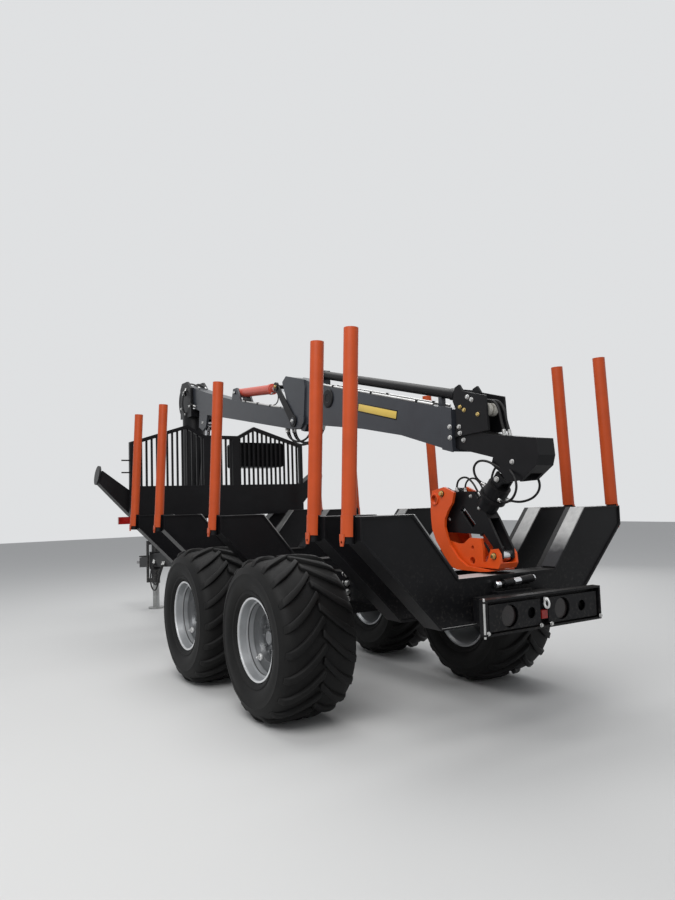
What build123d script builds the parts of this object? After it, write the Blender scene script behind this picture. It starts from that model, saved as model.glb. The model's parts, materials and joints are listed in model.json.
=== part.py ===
from build123d import *
import math
import os

os.makedirs("parts", exist_ok=True)

# Forestry trailer with a loading crane laid back over its bunks.
# Millimetres, +X to the tractor, +Y left, +Z up, ground at z = 0.
# In this source x is measured from the rear bunk's middle; keep() shifts every
# piece so that the origin lies under the middle of the overall length.
MIDDLE_X = 3880

# clearances: round a pin, between turning faces that meet, beside a moving piece
PIN_GAP = 0.5
SEAT_GAP = 0.3
SIDE_GAP = 5

# chassis
FRAME_HALF_Y = 150
FRAME_Z0 = 720
FRAME_Z1 = 950
FRAME_X0 = -130
FRAME_X1 = 6050
FLANGE_X = 1655
BOGIE_X = 1943
WHEELBASE = 1429
AXLE_HALF_Y = 500
BEAM_T = 120
EYE_X = 8130
EYE_R = 80
EYE_HOLE_R = 25
EYE_Z = 660
EYE_HALF_Z = 22
DRAWBAR_X1 = 7960
DRAWBAR_HALF_Y = 90
JACK_X = 7400
JACK_R = 62
JACK_FOOT_R = 115

# wheels
TYRE_R = 585
TYRE_Y = 965
TYRE_HALF_W = 298
LUG_H = 29
LUG_W = 58
LUG_LEAN = 38
LUGS_PER_SIDE = 20
RIM_R = 286
RIM_HALF_W = 254
WHEEL_Z = 585
SPINDLE_R = 45
HUB_R = 105

# bunks and stakes
BUNK_HALF_X = 85
BUNK_FLANGE = 12
BUNK_Z0 = 750
BUNK_FOOT_Y = 585
BED_Z = 1050
BED_HALF_Y = 430
ARM_TOP_Y = 765
ARM_TOP_Z = 1460
ARM_END_Y = 1150
ARM_END_H = 135
POST_R = 39
STAKE_Y = 1177.5
STAKE_Z0 = 1346
STAKE_Z1 = 2579
STAKE_R = 44.5
STAKE_LEAN = 2.9
SLEEVE_H = 125
# bunk name and its middle, ahead of the rear bunk
BUNKS = (
    ("bunk_rear", 0),
    ("bunk_second", 403),
    ("bunk_middle", BOGIE_X + 122),
    ("bunk_fourth", 3518),
    ("bunk_front", 4377),
)

# headboard
HEAD_X = 4727
HEAD_HALF_X = 25
HEAD_HALF_Y = 1130
HEAD_Z0 = 1417
GRID_Z0 = 1750
HEAD_EDGE = 42
GRID_BAR = 22
GRID_PITCH = 62
POST_Y = 190
TANK_Y0 = 238
TANK_Y1 = 870
TANK_Z0 = 2015
TANK_Z1 = 2325

# rear bumper, closed by a channel's flanges above and below
BUMPER_X0 = -390
BUMPER_X1 = -330
BUMPER_HALF_Y = 500
BUMPER_Z0 = 745
BUMPER_Z1 = 957
BUMPER_WALL = 12
BUMPER_ARM_Y = 300
LAMP_R = 68
ARM_Z0 = 770
ARM_Z1 = 930

# outriggers
LEG_X = 4880
LEG_HALF_X = 80
LEG_PIN = (480, 1100)
LEG_EYE_R = 60
LEG_PIN_R = 25
FOOT_AT = (1450, 1925)
FOOT_R = 110
FOOT_TILT = 9

# crane
COLUMN_X = 5650
COLUMN_R = 150
COLUMN_Z0 = 1260
SPIGOT_R = 120
BOOM_PIVOT = (5650, 3050)
BOOM_HALF_Y = 85
BOOM_PIN_R = 35
CHEEK_Y0 = 95
CHEEK_Y1 = 125
KNUCKLE = (2610, 2345)
LIFT_BASE = (5400, 1480)
LIFT_EYE = (5120, 2600)
LIFT_PIN_R = 25
JIB_CYL_BASE = (4090, 2840)
JIB_CYL_EYE = (2952, 2735)
JIB_CYL_PIN_R = 20
JIB_HALF_Y = 95
JIB_CHEEK_Y0 = 90
JIB_CHEEK_T = 20
LINK_T = 14
EYE_HALF = 40
JIB_END_X = 300
EXT_SLOPE = 0.245
EXT_HALF_Y = 75
EXT_H = 150
EXT_MID_Z = 1885
SLIDE_GAP = 0.6
EXT_CYL_R = 38
EXT_CYL_Z = 2185
EXT_CYL_X0 = 350
EXT_CYL_X1 = 2230
EXT_ROD_R = 22
EXT_BRACKET_X = 294
ROLLER_AT = (30, 2140)
TIP_PIN = (-230, 1770)
TIP_PIN_R = 18
ROTATOR_PIN = (-70, 1665)
ROTATOR_PIN_R = 15
GRAPPLE_AT = (200, 1370)
GRAPPLE_TILT = 42.5
JAW_PIN_FRONT = (423, 1584)
JAW_PIN_REAR = (-35, 1165)
JAW_PIN_R = 22
JAW_HOLE = (500, 1546)
JAW_FRONT_Y = 95
JAW_REAR_Y = 60
ROTATOR_Z0 = 235


def keep(name, shape):
    export_step(Pos(-MIDDLE_X, 0, 0) * shape, "parts/" + name + ".step")


def block(x0, x1, y0, y1, z0, z1):
    return Pos((x0 + x1) / 2, (y0 + y1) / 2, (z0 + z1) / 2) * Box(x1 - x0, y1 - y0, z1 - z0)


def bar(a, b, r):
    """Round bar from point a to point b."""
    a, b = Vector(*a), Vector(*b)
    return extrude(Plane(origin=a, z_dir=b - a) * Circle(r), (b - a).length)


def side_plate(points, y0, y1):
    """Outline of (x, z) points, as wide as y0 to y1."""
    face = Plane.XZ.offset(-y0) * Polygon(*points, align=None)
    return extrude(face, y1 - y0, dir=(0, 1, 0))


def side_plates(points, y0, y1):
    """The same outline as a plate on the left and one on the right."""
    return side_plate(points, y0, y1) + side_plate(points, -y1, -y0)


def cross_solid(sketch, x0, x1):
    """A (y, z) sketch, as long as x0 to x1."""
    return extrude(Plane.YZ.offset(x0) * sketch, x1 - x0, dir=(1, 0, 0))


def cross_plate(points, x0, x1):
    """Outline of (y, z) points, as long as x0 to x1."""
    return cross_solid(Polygon(*points, align=None), x0, x1)


def pin(at, r, half_y):
    """Round piece across the trailer about the (x, z) point."""
    return bar((at[0], -half_y, at[1]), (at[0], half_y, at[1]), r)


def bosses(at, r, y0, y1):
    """A round boss on each side about the (x, z) point."""
    left = bar((at[0], y0, at[1]), (at[0], y1, at[1]), r)
    return left + mirrored(left)


def both_sides(points):
    """Closed outline from its left half, listed from the middle out and back."""
    return list(points) + [(-y, z) for y, z in reversed(points) if y > 0]


def mirrored(shape):
    return mirror(shape, about=Plane.XZ)


def faceted_ring(profile, sides):
    """Solid of flat faces round the Y axis from a closed outline of (radius, y)."""
    half_turn = math.pi / sides

    def corner(r, y, k):
        # a side's middle, not its corner, lies at the given radius
        reach = r / math.cos(half_turn)
        turn = 2 * half_turn * (k + 0.5)
        return (reach * math.sin(turn), y, reach * math.cos(turn))

    faces = []
    for (r0, y0), (r1, y1) in zip(profile, profile[1:] + profile[:1]):
        for k in range(sides):
            edge = Polyline(corner(r0, y0, k), corner(r1, y1, k), corner(r1, y1, k + 1), corner(r0, y0, k + 1),
                            close=True)
            faces.append(Face(Wire(edge.edges())))
    return Solid(Shell(faces))


# main frame: box beam with a bolted joint, and cross arms that carry the bumper
frame = block(FRAME_X0, FRAME_X1, -FRAME_HALF_Y, FRAME_HALF_Y, FRAME_Z0, FRAME_Z1)
frame += block(FLANGE_X - 18, FLANGE_X + 18, -FRAME_HALF_Y - 35, FRAME_HALF_Y + 35, FRAME_Z0 - 12, FRAME_Z1 + 12)
frame += block(-BUNK_HALF_X - 95, -BUNK_HALF_X - SIDE_GAP, -BUMPER_ARM_Y - 30, BUMPER_ARM_Y + 30, ARM_Z0, ARM_Z1)
keep("main_frame", frame)

# drawbar: tapered beam with a round sleeve for the jack
drawbar_side = (
    (FRAME_X1, FRAME_Z0), (FRAME_X1, FRAME_Z1), (FRAME_X1 + 1100, FRAME_Z1 - 100), (DRAWBAR_X1, EYE_Z + 80),
    (DRAWBAR_X1, EYE_Z - 70), (FRAME_X1 + 1100, FRAME_Z0 - 70),
)
drawbar = side_plate(drawbar_side, -DRAWBAR_HALF_Y, DRAWBAR_HALF_Y)
drawbar += bar((JACK_X, 0, EYE_Z - 60), (JACK_X, 0, EYE_Z + 200), JACK_R + 32)
drawbar -= bar((JACK_X, 0, EYE_Z - 300), (JACK_X, 0, EYE_Z + 400), JACK_R + SEAT_GAP)
keep("drawbar", drawbar)

eye = bar((EYE_X, 0, EYE_Z - EYE_HALF_Z), (EYE_X, 0, EYE_Z + EYE_HALF_Z), EYE_R)
eye += block(DRAWBAR_X1, EYE_X - EYE_HOLE_R, -EYE_R * 0.6, EYE_R * 0.6, EYE_Z - EYE_HALF_Z, EYE_Z + EYE_HALF_Z)
eye += block(DRAWBAR_X1, DRAWBAR_X1 + 25, -EYE_R, EYE_R, EYE_Z - 60, EYE_Z + 70)
eye -= bar((EYE_X, 0, EYE_Z - 2 * EYE_HALF_Z), (EYE_X, 0, EYE_Z + 2 * EYE_HALF_Z), EYE_HOLE_R)
keep("tow_eye", eye)

# parking jack: sleeve, sliding leg, foot, and a side pipe with the crank
jack = bar((JACK_X, 0, 380), (JACK_X, 0, 1040), JACK_R)
jack += bar((JACK_X, 0, 24), (JACK_X, 0, 380), JACK_R - 14)
jack += bar((JACK_X, 0, 0), (JACK_X, 0, 24), JACK_FOOT_R)
crank_y = DRAWBAR_HALF_Y + 35
jack += bar((JACK_X, crank_y, 400), (JACK_X, crank_y, 1030), 20)
for z in (400, 970):
    jack += block(JACK_X - 15, JACK_X + 15, 40, crank_y, z, z + 60)
jack += bar((JACK_X, crank_y, 800), (JACK_X, crank_y + 130, 800), 11)
keep("parking_jack", jack)

# bogie: fixed cross axle, and a beam each side that carries two spindles
axle = block(BOGIE_X - 75, BOGIE_X + 75, -AXLE_HALF_Y, AXLE_HALF_Y, WHEEL_Z - 25, FRAME_Z0 - 30)
axle += block(BOGIE_X - 130, BOGIE_X + 130, -FRAME_HALF_Y - 40, FRAME_HALF_Y + 40, FRAME_Z0 - 30, FRAME_Z0)
keep("cross_axle", axle)

wheel_x = (BOGIE_X - WHEELBASE / 2, BOGIE_X + WHEELBASE / 2)
beam_side = (
    (wheel_x[0], WHEEL_Z - 85), (wheel_x[0], WHEEL_Z + 85), (BOGIE_X - 130, FRAME_Z0), (BOGIE_X + 130, FRAME_Z0),
    (wheel_x[1], WHEEL_Z + 85), (wheel_x[1], WHEEL_Z - 85), (BOGIE_X + 130, WHEEL_Z - 75),
    (BOGIE_X - 130, WHEEL_Z - 75),
)
beam_y1 = AXLE_HALF_Y + BEAM_T
hub_y0 = beam_y1 + 20 + SIDE_GAP
beam = side_plate(beam_side, AXLE_HALF_Y, beam_y1)
for x in wheel_x:
    beam += bar((x, AXLE_HALF_Y, WHEEL_Z), (x, beam_y1, WHEEL_Z), 85)
    beam += bar((x, beam_y1, WHEEL_Z), (x, beam_y1 + 20, WHEEL_Z), 60)
    beam += bar((x, beam_y1, WHEEL_Z), (x, TYRE_Y + 40, WHEEL_Z), SPINDLE_R)
keep("bogie_beam_left", beam)
keep("bogie_beam_right", mirrored(beam))

# tyre: carcass outline of (radius, y from its middle plane) and slanting lugs
carcass_r = TYRE_R - LUG_H
carcass_half = [
    (RIM_R, RIM_HALF_W - 22), (RIM_R + 104, TYRE_HALF_W), (carcass_r - 26, TYRE_HALF_W - 13),
    (carcass_r, TYRE_HALF_W - 73),
]
carcass = faceted_ring(carcass_half + [(r, -y) for r, y in reversed(carcass_half)], LUGS_PER_SIDE)
lug_reach = (TYRE_HALF_W - 26) / math.cos(math.radians(LUG_LEAN))
lug_top = math.sqrt(TYRE_R ** 2 - (LUG_W / 2 + lug_reach / 2 * math.sin(math.radians(LUG_LEAN))) ** 2)
lug_side = (
    (0, carcass_r - 50), (0, lug_top), (lug_reach * 0.75, lug_top), (lug_reach * 0.96, lug_top - 24),
    (lug_reach, carcass_r - 50),
)
lug = Rot(0, 0, LUG_LEAN) * cross_plate(lug_side, -LUG_W / 2, LUG_W / 2)
lug = Pos(lug_reach / 2 * math.sin(math.radians(LUG_LEAN)), 10, 0) * lug
lugs = []
for i in range(LUGS_PER_SIDE):
    lugs.append(Rot(0, i * 360 / LUGS_PER_SIDE, 0) * lug)
    lugs.append(Rot(0, (i + 0.5) * 360 / LUGS_PER_SIDE, 0) * mirrored(lug))
tyre_shape = carcass.fuse(*lugs)

# rim, as an outline of (radius, y from the tyre's middle plane) from the disc outwards
seat_r = RIM_R - SEAT_GAP
seat_y = RIM_HALF_W - 14 + SEAT_GAP
rim_outline = (
    (0, 104), (158, 104), (172, 139), (250, 139), (258, 188), (272, 192), (RIM_R - 2, RIM_HALF_W),
    (RIM_R + 12, RIM_HALF_W), (RIM_R + 12, seat_y), (seat_r, seat_y), (seat_r, -seat_y), (RIM_R + 12, -seat_y),
    (RIM_R + 12, -RIM_HALF_W), (RIM_R - 2, -RIM_HALF_W), (272, -230), (262, -90), (250, 125), (172, 125),
    (150, 90), (0, 90),
)
rim_shape = revolve(Polygon(*rim_outline, align=None), Axis.Y)
rim_shape += bar((0, 104, 0), (0, 124, 0), 62)
rim_shape += bar((0, 90, 0), (0, hub_y0 - TYRE_Y, 0), HUB_R)
rim_shape -= bar((0, 40 + SIDE_GAP, 0), (0, hub_y0 - TYRE_Y - 1, 0), SPINDLE_R + PIN_GAP)
for end, x in (("rear", wheel_x[0]), ("front", wheel_x[1])):
    left_tyre = Pos(x, TYRE_Y, WHEEL_Z) * tyre_shape
    left_rim = Pos(x, TYRE_Y, WHEEL_Z) * rim_shape
    keep("tyre_left_" + end, left_tyre)
    keep("rim_left_" + end, left_rim)
    keep("tyre_right_" + end, mirrored(left_tyre))
    keep("rim_right_" + end, mirrored(left_rim))

# rear bumper: a channel open to the rear, with two face plates that hold the lamps
bumper = block(BUMPER_X0, BUMPER_X1, -BUMPER_HALF_Y, BUMPER_HALF_Y, BUMPER_Z0, BUMPER_Z1)
bumper -= block(BUMPER_X0 - 1, BUMPER_X1 - BUMPER_WALL, -BUMPER_HALF_Y + BUMPER_WALL, BUMPER_HALF_Y - BUMPER_WALL,
                BUMPER_Z0 + BUMPER_WALL, BUMPER_Z1 - BUMPER_WALL)
face_z = (BUMPER_Z0 + 22, BUMPER_Z1 - 34)
lamp_z = sum(face_z) / 2
# face plate's ends, and the middles of its large and its small hole
FACES = (
    ((45, 470), 300, 120),
    ((-470, -25), -150, -330),
)
for (y0, y1), large_y, small_y in FACES:
    box = block(BUMPER_X0 + 12, BUMPER_X1 - BUMPER_WALL, y0, y1, *face_z)
    box -= block(BUMPER_X0 + 20, BUMPER_X1, y0 + 8, y1 - 8, face_z[0] + 8, face_z[1] - 8)
    box -= bar((BUMPER_X0, large_y, lamp_z), (BUMPER_X0 + 25, large_y, lamp_z), LAMP_R)
    box -= bar((BUMPER_X0, small_y, lamp_z), (BUMPER_X0 + 25, small_y, lamp_z), LAMP_R / 2)
    bumper += box
for y in (BUMPER_ARM_Y, -BUMPER_ARM_Y):
    bumper += block(BUMPER_X1, -BUNK_HALF_X - 95, y - 30, y + 30, ARM_Z0, ARM_Z1)
keep("rear_bumper", bumper)

lamps = []
for face_ends, large_y, small_y in FACES:
    lamps.append(bar((BUMPER_X0 + 30, large_y, lamp_z), (BUMPER_X1 - BUMPER_WALL, large_y, lamp_z), LAMP_R - 6))
lamps.append(block(BUMPER_X0 + 10, BUMPER_X1 - BUMPER_WALL, -15, 35, lamp_z - 45, lamp_z + 5))
keep("rear_lamps", Compound(children=lamps))

# bunk: a flat bed between two rising arms, with a flange round its outline
bunk_half = (
    (0, BED_Z), (BED_HALF_Y, BED_Z), (ARM_TOP_Y, ARM_TOP_Z), (ARM_END_Y, ARM_TOP_Z),
    (ARM_END_Y, ARM_TOP_Z - ARM_END_H), (BUNK_FOOT_Y + 175, BUNK_Z0 + 180), (BUNK_FOOT_Y, BUNK_Z0), (0, BUNK_Z0),
)
bunk_face = Polygon(*both_sides(bunk_half), align=None)
web_face = offset(bunk_face, -BUNK_FLANGE, kind=Kind.INTERSECTION)
bunk_shape = cross_solid(bunk_face - web_face, -BUNK_HALF_X, BUNK_HALF_X)
bunk_shape += cross_solid(web_face, -BUNK_HALF_X + 10, BUNK_HALF_X - 10)
at_stake = Pos(0, STAKE_Y, STAKE_Z0) * Rot(STAKE_LEAN, 0, 0)
arm_post = at_stake * bar((0, 0, -40), (0, 0, SLEEVE_H - SIDE_GAP), POST_R)
bunk_shape += arm_post
bunk_shape += mirrored(arm_post)
bunk_shape -= block(-BUNK_HALF_X, BUNK_HALF_X, -FRAME_HALF_Y, FRAME_HALF_Y, BUNK_Z0 - 1, FRAME_Z1)
for name, x in BUNKS:
    keep(name, Pos(x, 0, 0) * bunk_shape)

# worn steel strips on the arms' inner slopes, nearer the rear edge
slope = math.degrees(math.atan2(ARM_TOP_Z - BED_Z, ARM_TOP_Y - BED_HALF_Y))
slope_length = math.hypot(ARM_TOP_Z - BED_Z, ARM_TOP_Y - BED_HALF_Y)
wear = Pos(0, BED_HALF_Y, BED_Z) * Rot(slope, 0, 0) * block(-BUNK_HALF_X, 35, 10, slope_length - 5, 0, 8)
strips = []
for name, x in BUNKS:
    strips.append(Pos(x, 0, 0) * wear)
    strips.append(Pos(x, 0, 0) * mirrored(wear))
keep("bunk_wear_plates", Compound(children=strips))

# stake: round tube, half sleeve below it round the arm's post, and a foot lug
stake = bar((0, 0, SLEEVE_H), (0, 0, STAKE_Z1 - STAKE_Z0), STAKE_R)
sleeve = bar((0, 0, 0), (0, 0, SLEEVE_H), STAKE_R + 3) - bar((0, 0, -5), (0, 0, SLEEVE_H + 5), POST_R + 1)
sleeve -= block(-60, 60, -80, 0, -5, SLEEVE_H + 1)
foot = side_plate(((-24, 15), (24, 15), (23, -20), (13, -55), (-13, -55), (-23, -20)), POST_R + 1.5, STAKE_R + 4)
foot -= bar((0, 0, -32), (0, 80, -32), 10)
stake = at_stake * (stake + sleeve + foot)
stakes = [Pos(x, 0, 0) * stake for name, x in BUNKS]
keep("stakes_left", Compound(children=stakes))
keep("stakes_right", Compound(children=[mirrored(s) for s in stakes]))

# headboard grid: (y, z) of its top edge from the middle out
HEAD_TOP = ((0, 2400), (220, 2400), (440, 2520), (HEAD_HALF_Y, 2300))


def head_top_z(y):
    """Height of the top edge at a distance from the middle."""
    for (y0, z0), (y1, z1) in zip(HEAD_TOP, HEAD_TOP[1:]):
        if y <= y1:
            return z0 + (z1 - z0) * (y - y0) / (y1 - y0)
    return HEAD_TOP[-1][1]


head_face = Polygon(*both_sides(HEAD_TOP + ((HEAD_HALF_Y, GRID_Z0),)), align=None)
open_face = offset(head_face, -HEAD_EDGE, kind=Kind.INTERSECTION)
head = cross_solid(head_face - open_face, HEAD_X - HEAD_HALF_X, HEAD_X + HEAD_HALF_X)
for y in (-POST_Y, POST_Y):
    head += block(HEAD_X - HEAD_HALF_X, HEAD_X + HEAD_HALF_X, y - 40, y + 40, GRID_Z0, head_top_z(POST_Y) - 10)
bars_each_side = int((HEAD_HALF_Y - HEAD_EDGE - GRID_BAR) / GRID_PITCH)
for i in range(-bars_each_side, bars_each_side + 1):
    y = GRID_PITCH * i
    if abs(abs(y) - POST_Y) > 40:
        head += block(HEAD_X - 10, HEAD_X + 10, y - GRID_BAR / 2, y + GRID_BAR / 2, GRID_Z0 + HEAD_EDGE / 2,
                      head_top_z(abs(y)) - HEAD_EDGE / 2)
for z in (1950, 2090):
    head += bar((HEAD_X, HEAD_HALF_Y - 10, z), (HEAD_X, HEAD_HALF_Y + 90, z), 8)
keep("headboard_grid", head)

panel = block(HEAD_X - HEAD_HALF_X, HEAD_X + HEAD_HALF_X, -HEAD_HALF_Y, HEAD_HALF_Y, HEAD_Z0, GRID_Z0)
for y in (-105, 105):
    panel += block(HEAD_X - HEAD_HALF_X, HEAD_X + HEAD_HALF_X, y - 40, y + 40, FRAME_Z1, HEAD_Z0)
keep("headboard_panel", panel)

marker = block(HEAD_X - HEAD_HALF_X - 12, HEAD_X, HEAD_HALF_Y, HEAD_HALF_Y + 135, HEAD_Z0 - 55, HEAD_Z0 + 27)
keep("marker_lamps", Compound(children=[marker, mirrored(marker)]))

# oil tank, on two straps that rest on the right post
tank_x0 = HEAD_X + HEAD_HALF_X
tank = block(tank_x0, tank_x0 + 348, -TANK_Y1, -TANK_Y0, TANK_Z0, TANK_Z1)
tank = fillet(tank.edges().filter_by(Axis.X), 30)
for z in (TANK_Z0 + 45, TANK_Z1 - 85):
    tank += block(tank_x0, tank_x0 + 10, -TANK_Y0 - 40, -POST_Y + 30, z, z + 40)
keep("oil_tank", tank)

# outriggers: ears on a short beam hold the pins of the two swinging legs
pin_y, pin_z = LEG_PIN
beam_end = pin_y - LEG_EYE_R - SIDE_GAP
ear_x = LEG_HALF_X + 15
base = block(LEG_X - ear_x, LEG_X + ear_x, -beam_end, beam_end, FRAME_Z1, pin_z - 40)
ear = (
    (pin_y - 160, FRAME_Z1), (pin_y - 160, pin_z), (pin_y - 40, pin_z + 55), (pin_y + 40, pin_z + 45),
    (pin_y + 55, pin_z - 30), (pin_y - 60, FRAME_Z1),
)
ears = cross_plate(ear, LEG_X - ear_x - 15, LEG_X - ear_x) + cross_plate(ear, LEG_X + ear_x, LEG_X + ear_x + 15)
ears += bar((LEG_X - ear_x - 22, pin_y, pin_z), (LEG_X + ear_x + 22, pin_y, pin_z), LEG_PIN_R)
base += ears
base += mirrored(ears)
keep("outrigger_beam", base)

# leg outline of (y, z), tangent to its eye; the foot lies flat when the leg is down
leg = cross_plate(
    ((pin_y - 40, pin_z + 44), (1083, 1728), (1412, 1975), (1458, 1838), (1097, 1455), (pin_y + 34, pin_z - 49)),
    LEG_X - LEG_HALF_X, LEG_X + LEG_HALF_X)
leg += bar((LEG_X - LEG_HALF_X, pin_y, pin_z), (LEG_X + LEG_HALF_X, pin_y, pin_z), LEG_EYE_R)
foot_out = (math.cos(math.radians(FOOT_TILT)), math.sin(math.radians(FOOT_TILT)))


def along_foot(distance):
    """Point on the foot's axis, at a distance from the leg's pin along it."""
    across = -foot_out[1] * (FOOT_AT[0] - pin_y) + foot_out[0] * (FOOT_AT[1] - pin_z)
    return (LEG_X, pin_y + foot_out[0] * distance - foot_out[1] * across,
            pin_z + foot_out[1] * distance + foot_out[0] * across)


leg += bar(along_foot(pin_z - 90), along_foot(pin_z - 24), 48)
leg += bar(along_foot(pin_z - 24), along_foot(pin_z - 2), FOOT_R)
leg -= bar((LEG_X - LEG_HALF_X - 1, pin_y, pin_z), (LEG_X + LEG_HALF_X + 1, pin_y, pin_z), LEG_PIN_R + PIN_GAP)
keep("outrigger_left", leg)
keep("outrigger_right", mirrored(leg))

# crane base: plate, slewing housing and the two rack tubes across it
column_base = block(COLUMN_X - 330, COLUMN_X + 330, -230, 230, FRAME_Z1, FRAME_Z1 + 60)
column_base += bar((COLUMN_X, 0, FRAME_Z1 + 60), (COLUMN_X, 0, COLUMN_Z0), COLUMN_R + 60)
for x in (-170, 170):
    column_base += bar((COLUMN_X + x, -430, 1105), (COLUMN_X + x, 430, 1105), 62)
    for y in (-445, 405):
        column_base += bar((COLUMN_X + x, y, 1105), (COLUMN_X + x, y + 40, 1105), 72)
column_base -= bar((COLUMN_X, 0, COLUMN_Z0 - 200), (COLUMN_X, 0, COLUMN_Z0 + 1), SPIGOT_R + PIN_GAP)
keep("crane_base", column_base)

pivot_x, pivot_z = BOOM_PIVOT
column = bar((COLUMN_X, 0, COLUMN_Z0 + SEAT_GAP), (COLUMN_X, 0, pivot_z - 260), COLUMN_R)
column += bar((COLUMN_X, 0, COLUMN_Z0 - 190), (COLUMN_X, 0, COLUMN_Z0 + 10), SPIGOT_R)
column += bar((COLUMN_X, 0, COLUMN_Z0 + SEAT_GAP), (COLUMN_X, 0, COLUMN_Z0 + 60), COLUMN_R + 40)
column += block(pivot_x - 230, pivot_x + 180, -CHEEK_Y1, CHEEK_Y1, pivot_z - 330, pivot_z - 230)
cheek = (
    (pivot_x - 230, pivot_z - 250), (pivot_x + 180, pivot_z - 250), (pivot_x + 180, pivot_z + 70),
    (pivot_x + 110, pivot_z + 150), (pivot_x - 90, pivot_z + 150), (pivot_x - 210, pivot_z + 50),
)
column += side_plates(cheek, CHEEK_Y0, CHEEK_Y1)
column += pin(BOOM_PIVOT, BOOM_PIN_R, CHEEK_Y1 + 12)
lift_x, lift_z = LIFT_BASE
lift_ear = (
    (COLUMN_X - COLUMN_R + 30, lift_z - 100), (COLUMN_X - COLUMN_R + 30, lift_z + 140), (lift_x - 40, lift_z + 60),
    (lift_x - 60, lift_z - 30), (lift_x, lift_z - 100),
)
column += side_plates(lift_ear, 65, 90)
column += pin(LIFT_BASE, LIFT_PIN_R, 100)
keep("crane_column", column)

# main boom: box from the column's head to the knuckle, with ears for both cylinders
knuckle_x, knuckle_z = KNUCKLE
boom_side = (
    (pivot_x - 90, pivot_z - 175), (4971, 2687), (4089, 2528), (knuckle_x + 90, knuckle_z - 70),
    (knuckle_x - 4, knuckle_z - 74), (knuckle_x - 70, knuckle_z - 20), (knuckle_x - 60, knuckle_z + 45),
    (knuckle_x + 30, knuckle_z + 95), (2898, 2510), (3086, 2543), (4089, 2749), (4958, 2966), (pivot_x - 10, pivot_z + 110),
    (pivot_x + 90, pivot_z + 60), (pivot_x + 90, pivot_z - 60),
)
boom = side_plate(boom_side, -BOOM_HALF_Y, BOOM_HALF_Y)
boom += bosses(BOOM_PIVOT, 62, BOOM_HALF_Y - 5, CHEEK_Y0 - PIN_GAP)
boom += bosses(KNUCKLE, 60, BOOM_HALF_Y - 5, JIB_CHEEK_Y0 - PIN_GAP)
eye_x, eye_z = LIFT_EYE
boom += side_plates(
    ((eye_x + 110, 2790), (eye_x + 140, eye_z - 40), (eye_x + 10, eye_z - 100), (eye_x - 100, eye_z - 60),
     (eye_x - 160, 2700)), 50, 80)
base_x, base_z = JIB_CYL_BASE
boom += side_plates(
    ((base_x + 106, base_z - 90), (base_x + 50, base_z + 50), (base_x - 50, base_z + 50), (base_x - 174, base_z - 140)),
    57, 80)
boom += pin(JIB_CYL_BASE, JIB_CYL_PIN_R, 90)
boom -= pin(BOOM_PIVOT, BOOM_PIN_R + PIN_GAP, CHEEK_Y1)
boom -= pin(KNUCKLE, BOOM_PIN_R + PIN_GAP, CHEEK_Y1)
keep("main_boom", boom)


def cylinder(base_at, eye_at, body_r, rod_r, share, eye_half, pin_r):
    """Barrel, bored for its base pin, and rod in the plane y = 0."""
    a, b = Vector(base_at[0], 0, base_at[1]), Vector(eye_at[0], 0, eye_at[1])
    run = (b - a).normalized()
    end = a + run * ((b - a).length * share)
    bottom = a + run * body_r * 1.5
    barrel = bar(a + run * body_r * 0.6, end, body_r)
    barrel += bar(end - run * body_r, end, body_r + 7)
    barrel += pin(base_at, body_r, eye_half)
    barrel -= bar(bottom, end + run, rod_r + PIN_GAP)
    barrel -= pin(base_at, pin_r + PIN_GAP, eye_half + 1)
    piston = bar(bottom + run * 2, b - run * rod_r, rod_r)
    piston += pin(eye_at, rod_r * 1.5, eye_half)
    return barrel, piston


barrel, piston = cylinder(LIFT_BASE, LIFT_EYE, 62, 35, 0.84, 44, LIFT_PIN_R)
keep("lift_cylinder", barrel)
keep("lift_rod", piston)
barrel, piston = cylinder(JIB_CYL_BASE, JIB_CYL_EYE, 52, 30, 0.725, EYE_HALF, JIB_CYL_PIN_R)
keep("jib_cylinder", barrel)
keep("jib_rod", piston)


def slanted(x0, x1, z0, z1):
    """Outline parallel to the jib, given by heights at its outer end, x = -60."""
    rise0, rise1 = EXT_SLOPE * (x0 + 60), EXT_SLOPE * (x1 + 60)
    return ((x0, z0 + rise0), (x1, z0 + rise1), (x1, z1 + rise1), (x0, z1 + rise0))


# jib: box with a slot for the extension, cheeks over the boom's end, and a mouth ring
jib_side = (
    (2700, 2795), (2400, 2722), (2194, 2642), (JIB_END_X, 2172), (JIB_END_X, 1874), (900, 2045), (1440, 2150),
    (2050, 2240), (knuckle_x - 230, knuckle_z - 55), (knuckle_x - 180, knuckle_z - 120),
    (knuckle_x - 115, knuckle_z - 105), (knuckle_x - 110, knuckle_z + 95), (knuckle_x - 90, knuckle_z + 255),
    (2700, 2690),
)
jib = side_plate(jib_side, -JIB_HALF_Y, JIB_HALF_Y)
cheek_y1 = JIB_CHEEK_Y0 + JIB_CHEEK_T
jib_cheek = (
    (2840, 2765), (2760, 2812), (2400, 2722), (2380, 2640), (knuckle_x - 190, knuckle_z - 55),
    (knuckle_x - 110, knuckle_z - 90), (knuckle_x - 50, knuckle_z - 75), (knuckle_x + 45, knuckle_z - 62),
    (knuckle_x + 75, knuckle_z - 10), (knuckle_x + 80, knuckle_z + 60), (2716, 2480),
)
jib += side_plates(jib_cheek, JIB_CHEEK_Y0, cheek_y1)
jib += bosses((knuckle_x - 165, knuckle_z - 10), 50, cheek_y1, cheek_y1 + 12)
link_y0 = cheek_y1 + SEAT_GAP
link_y1 = link_y0 + LINK_T
jib += pin(KNUCKLE, BOOM_PIN_R, link_y1 + 6)
jib += side_plates(slanted(JIB_END_X, JIB_END_X + 110, 1782, 2094), JIB_HALF_Y, JIB_HALF_Y + 12)
ext_z0 = EXT_MID_Z - EXT_H / 2
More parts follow.
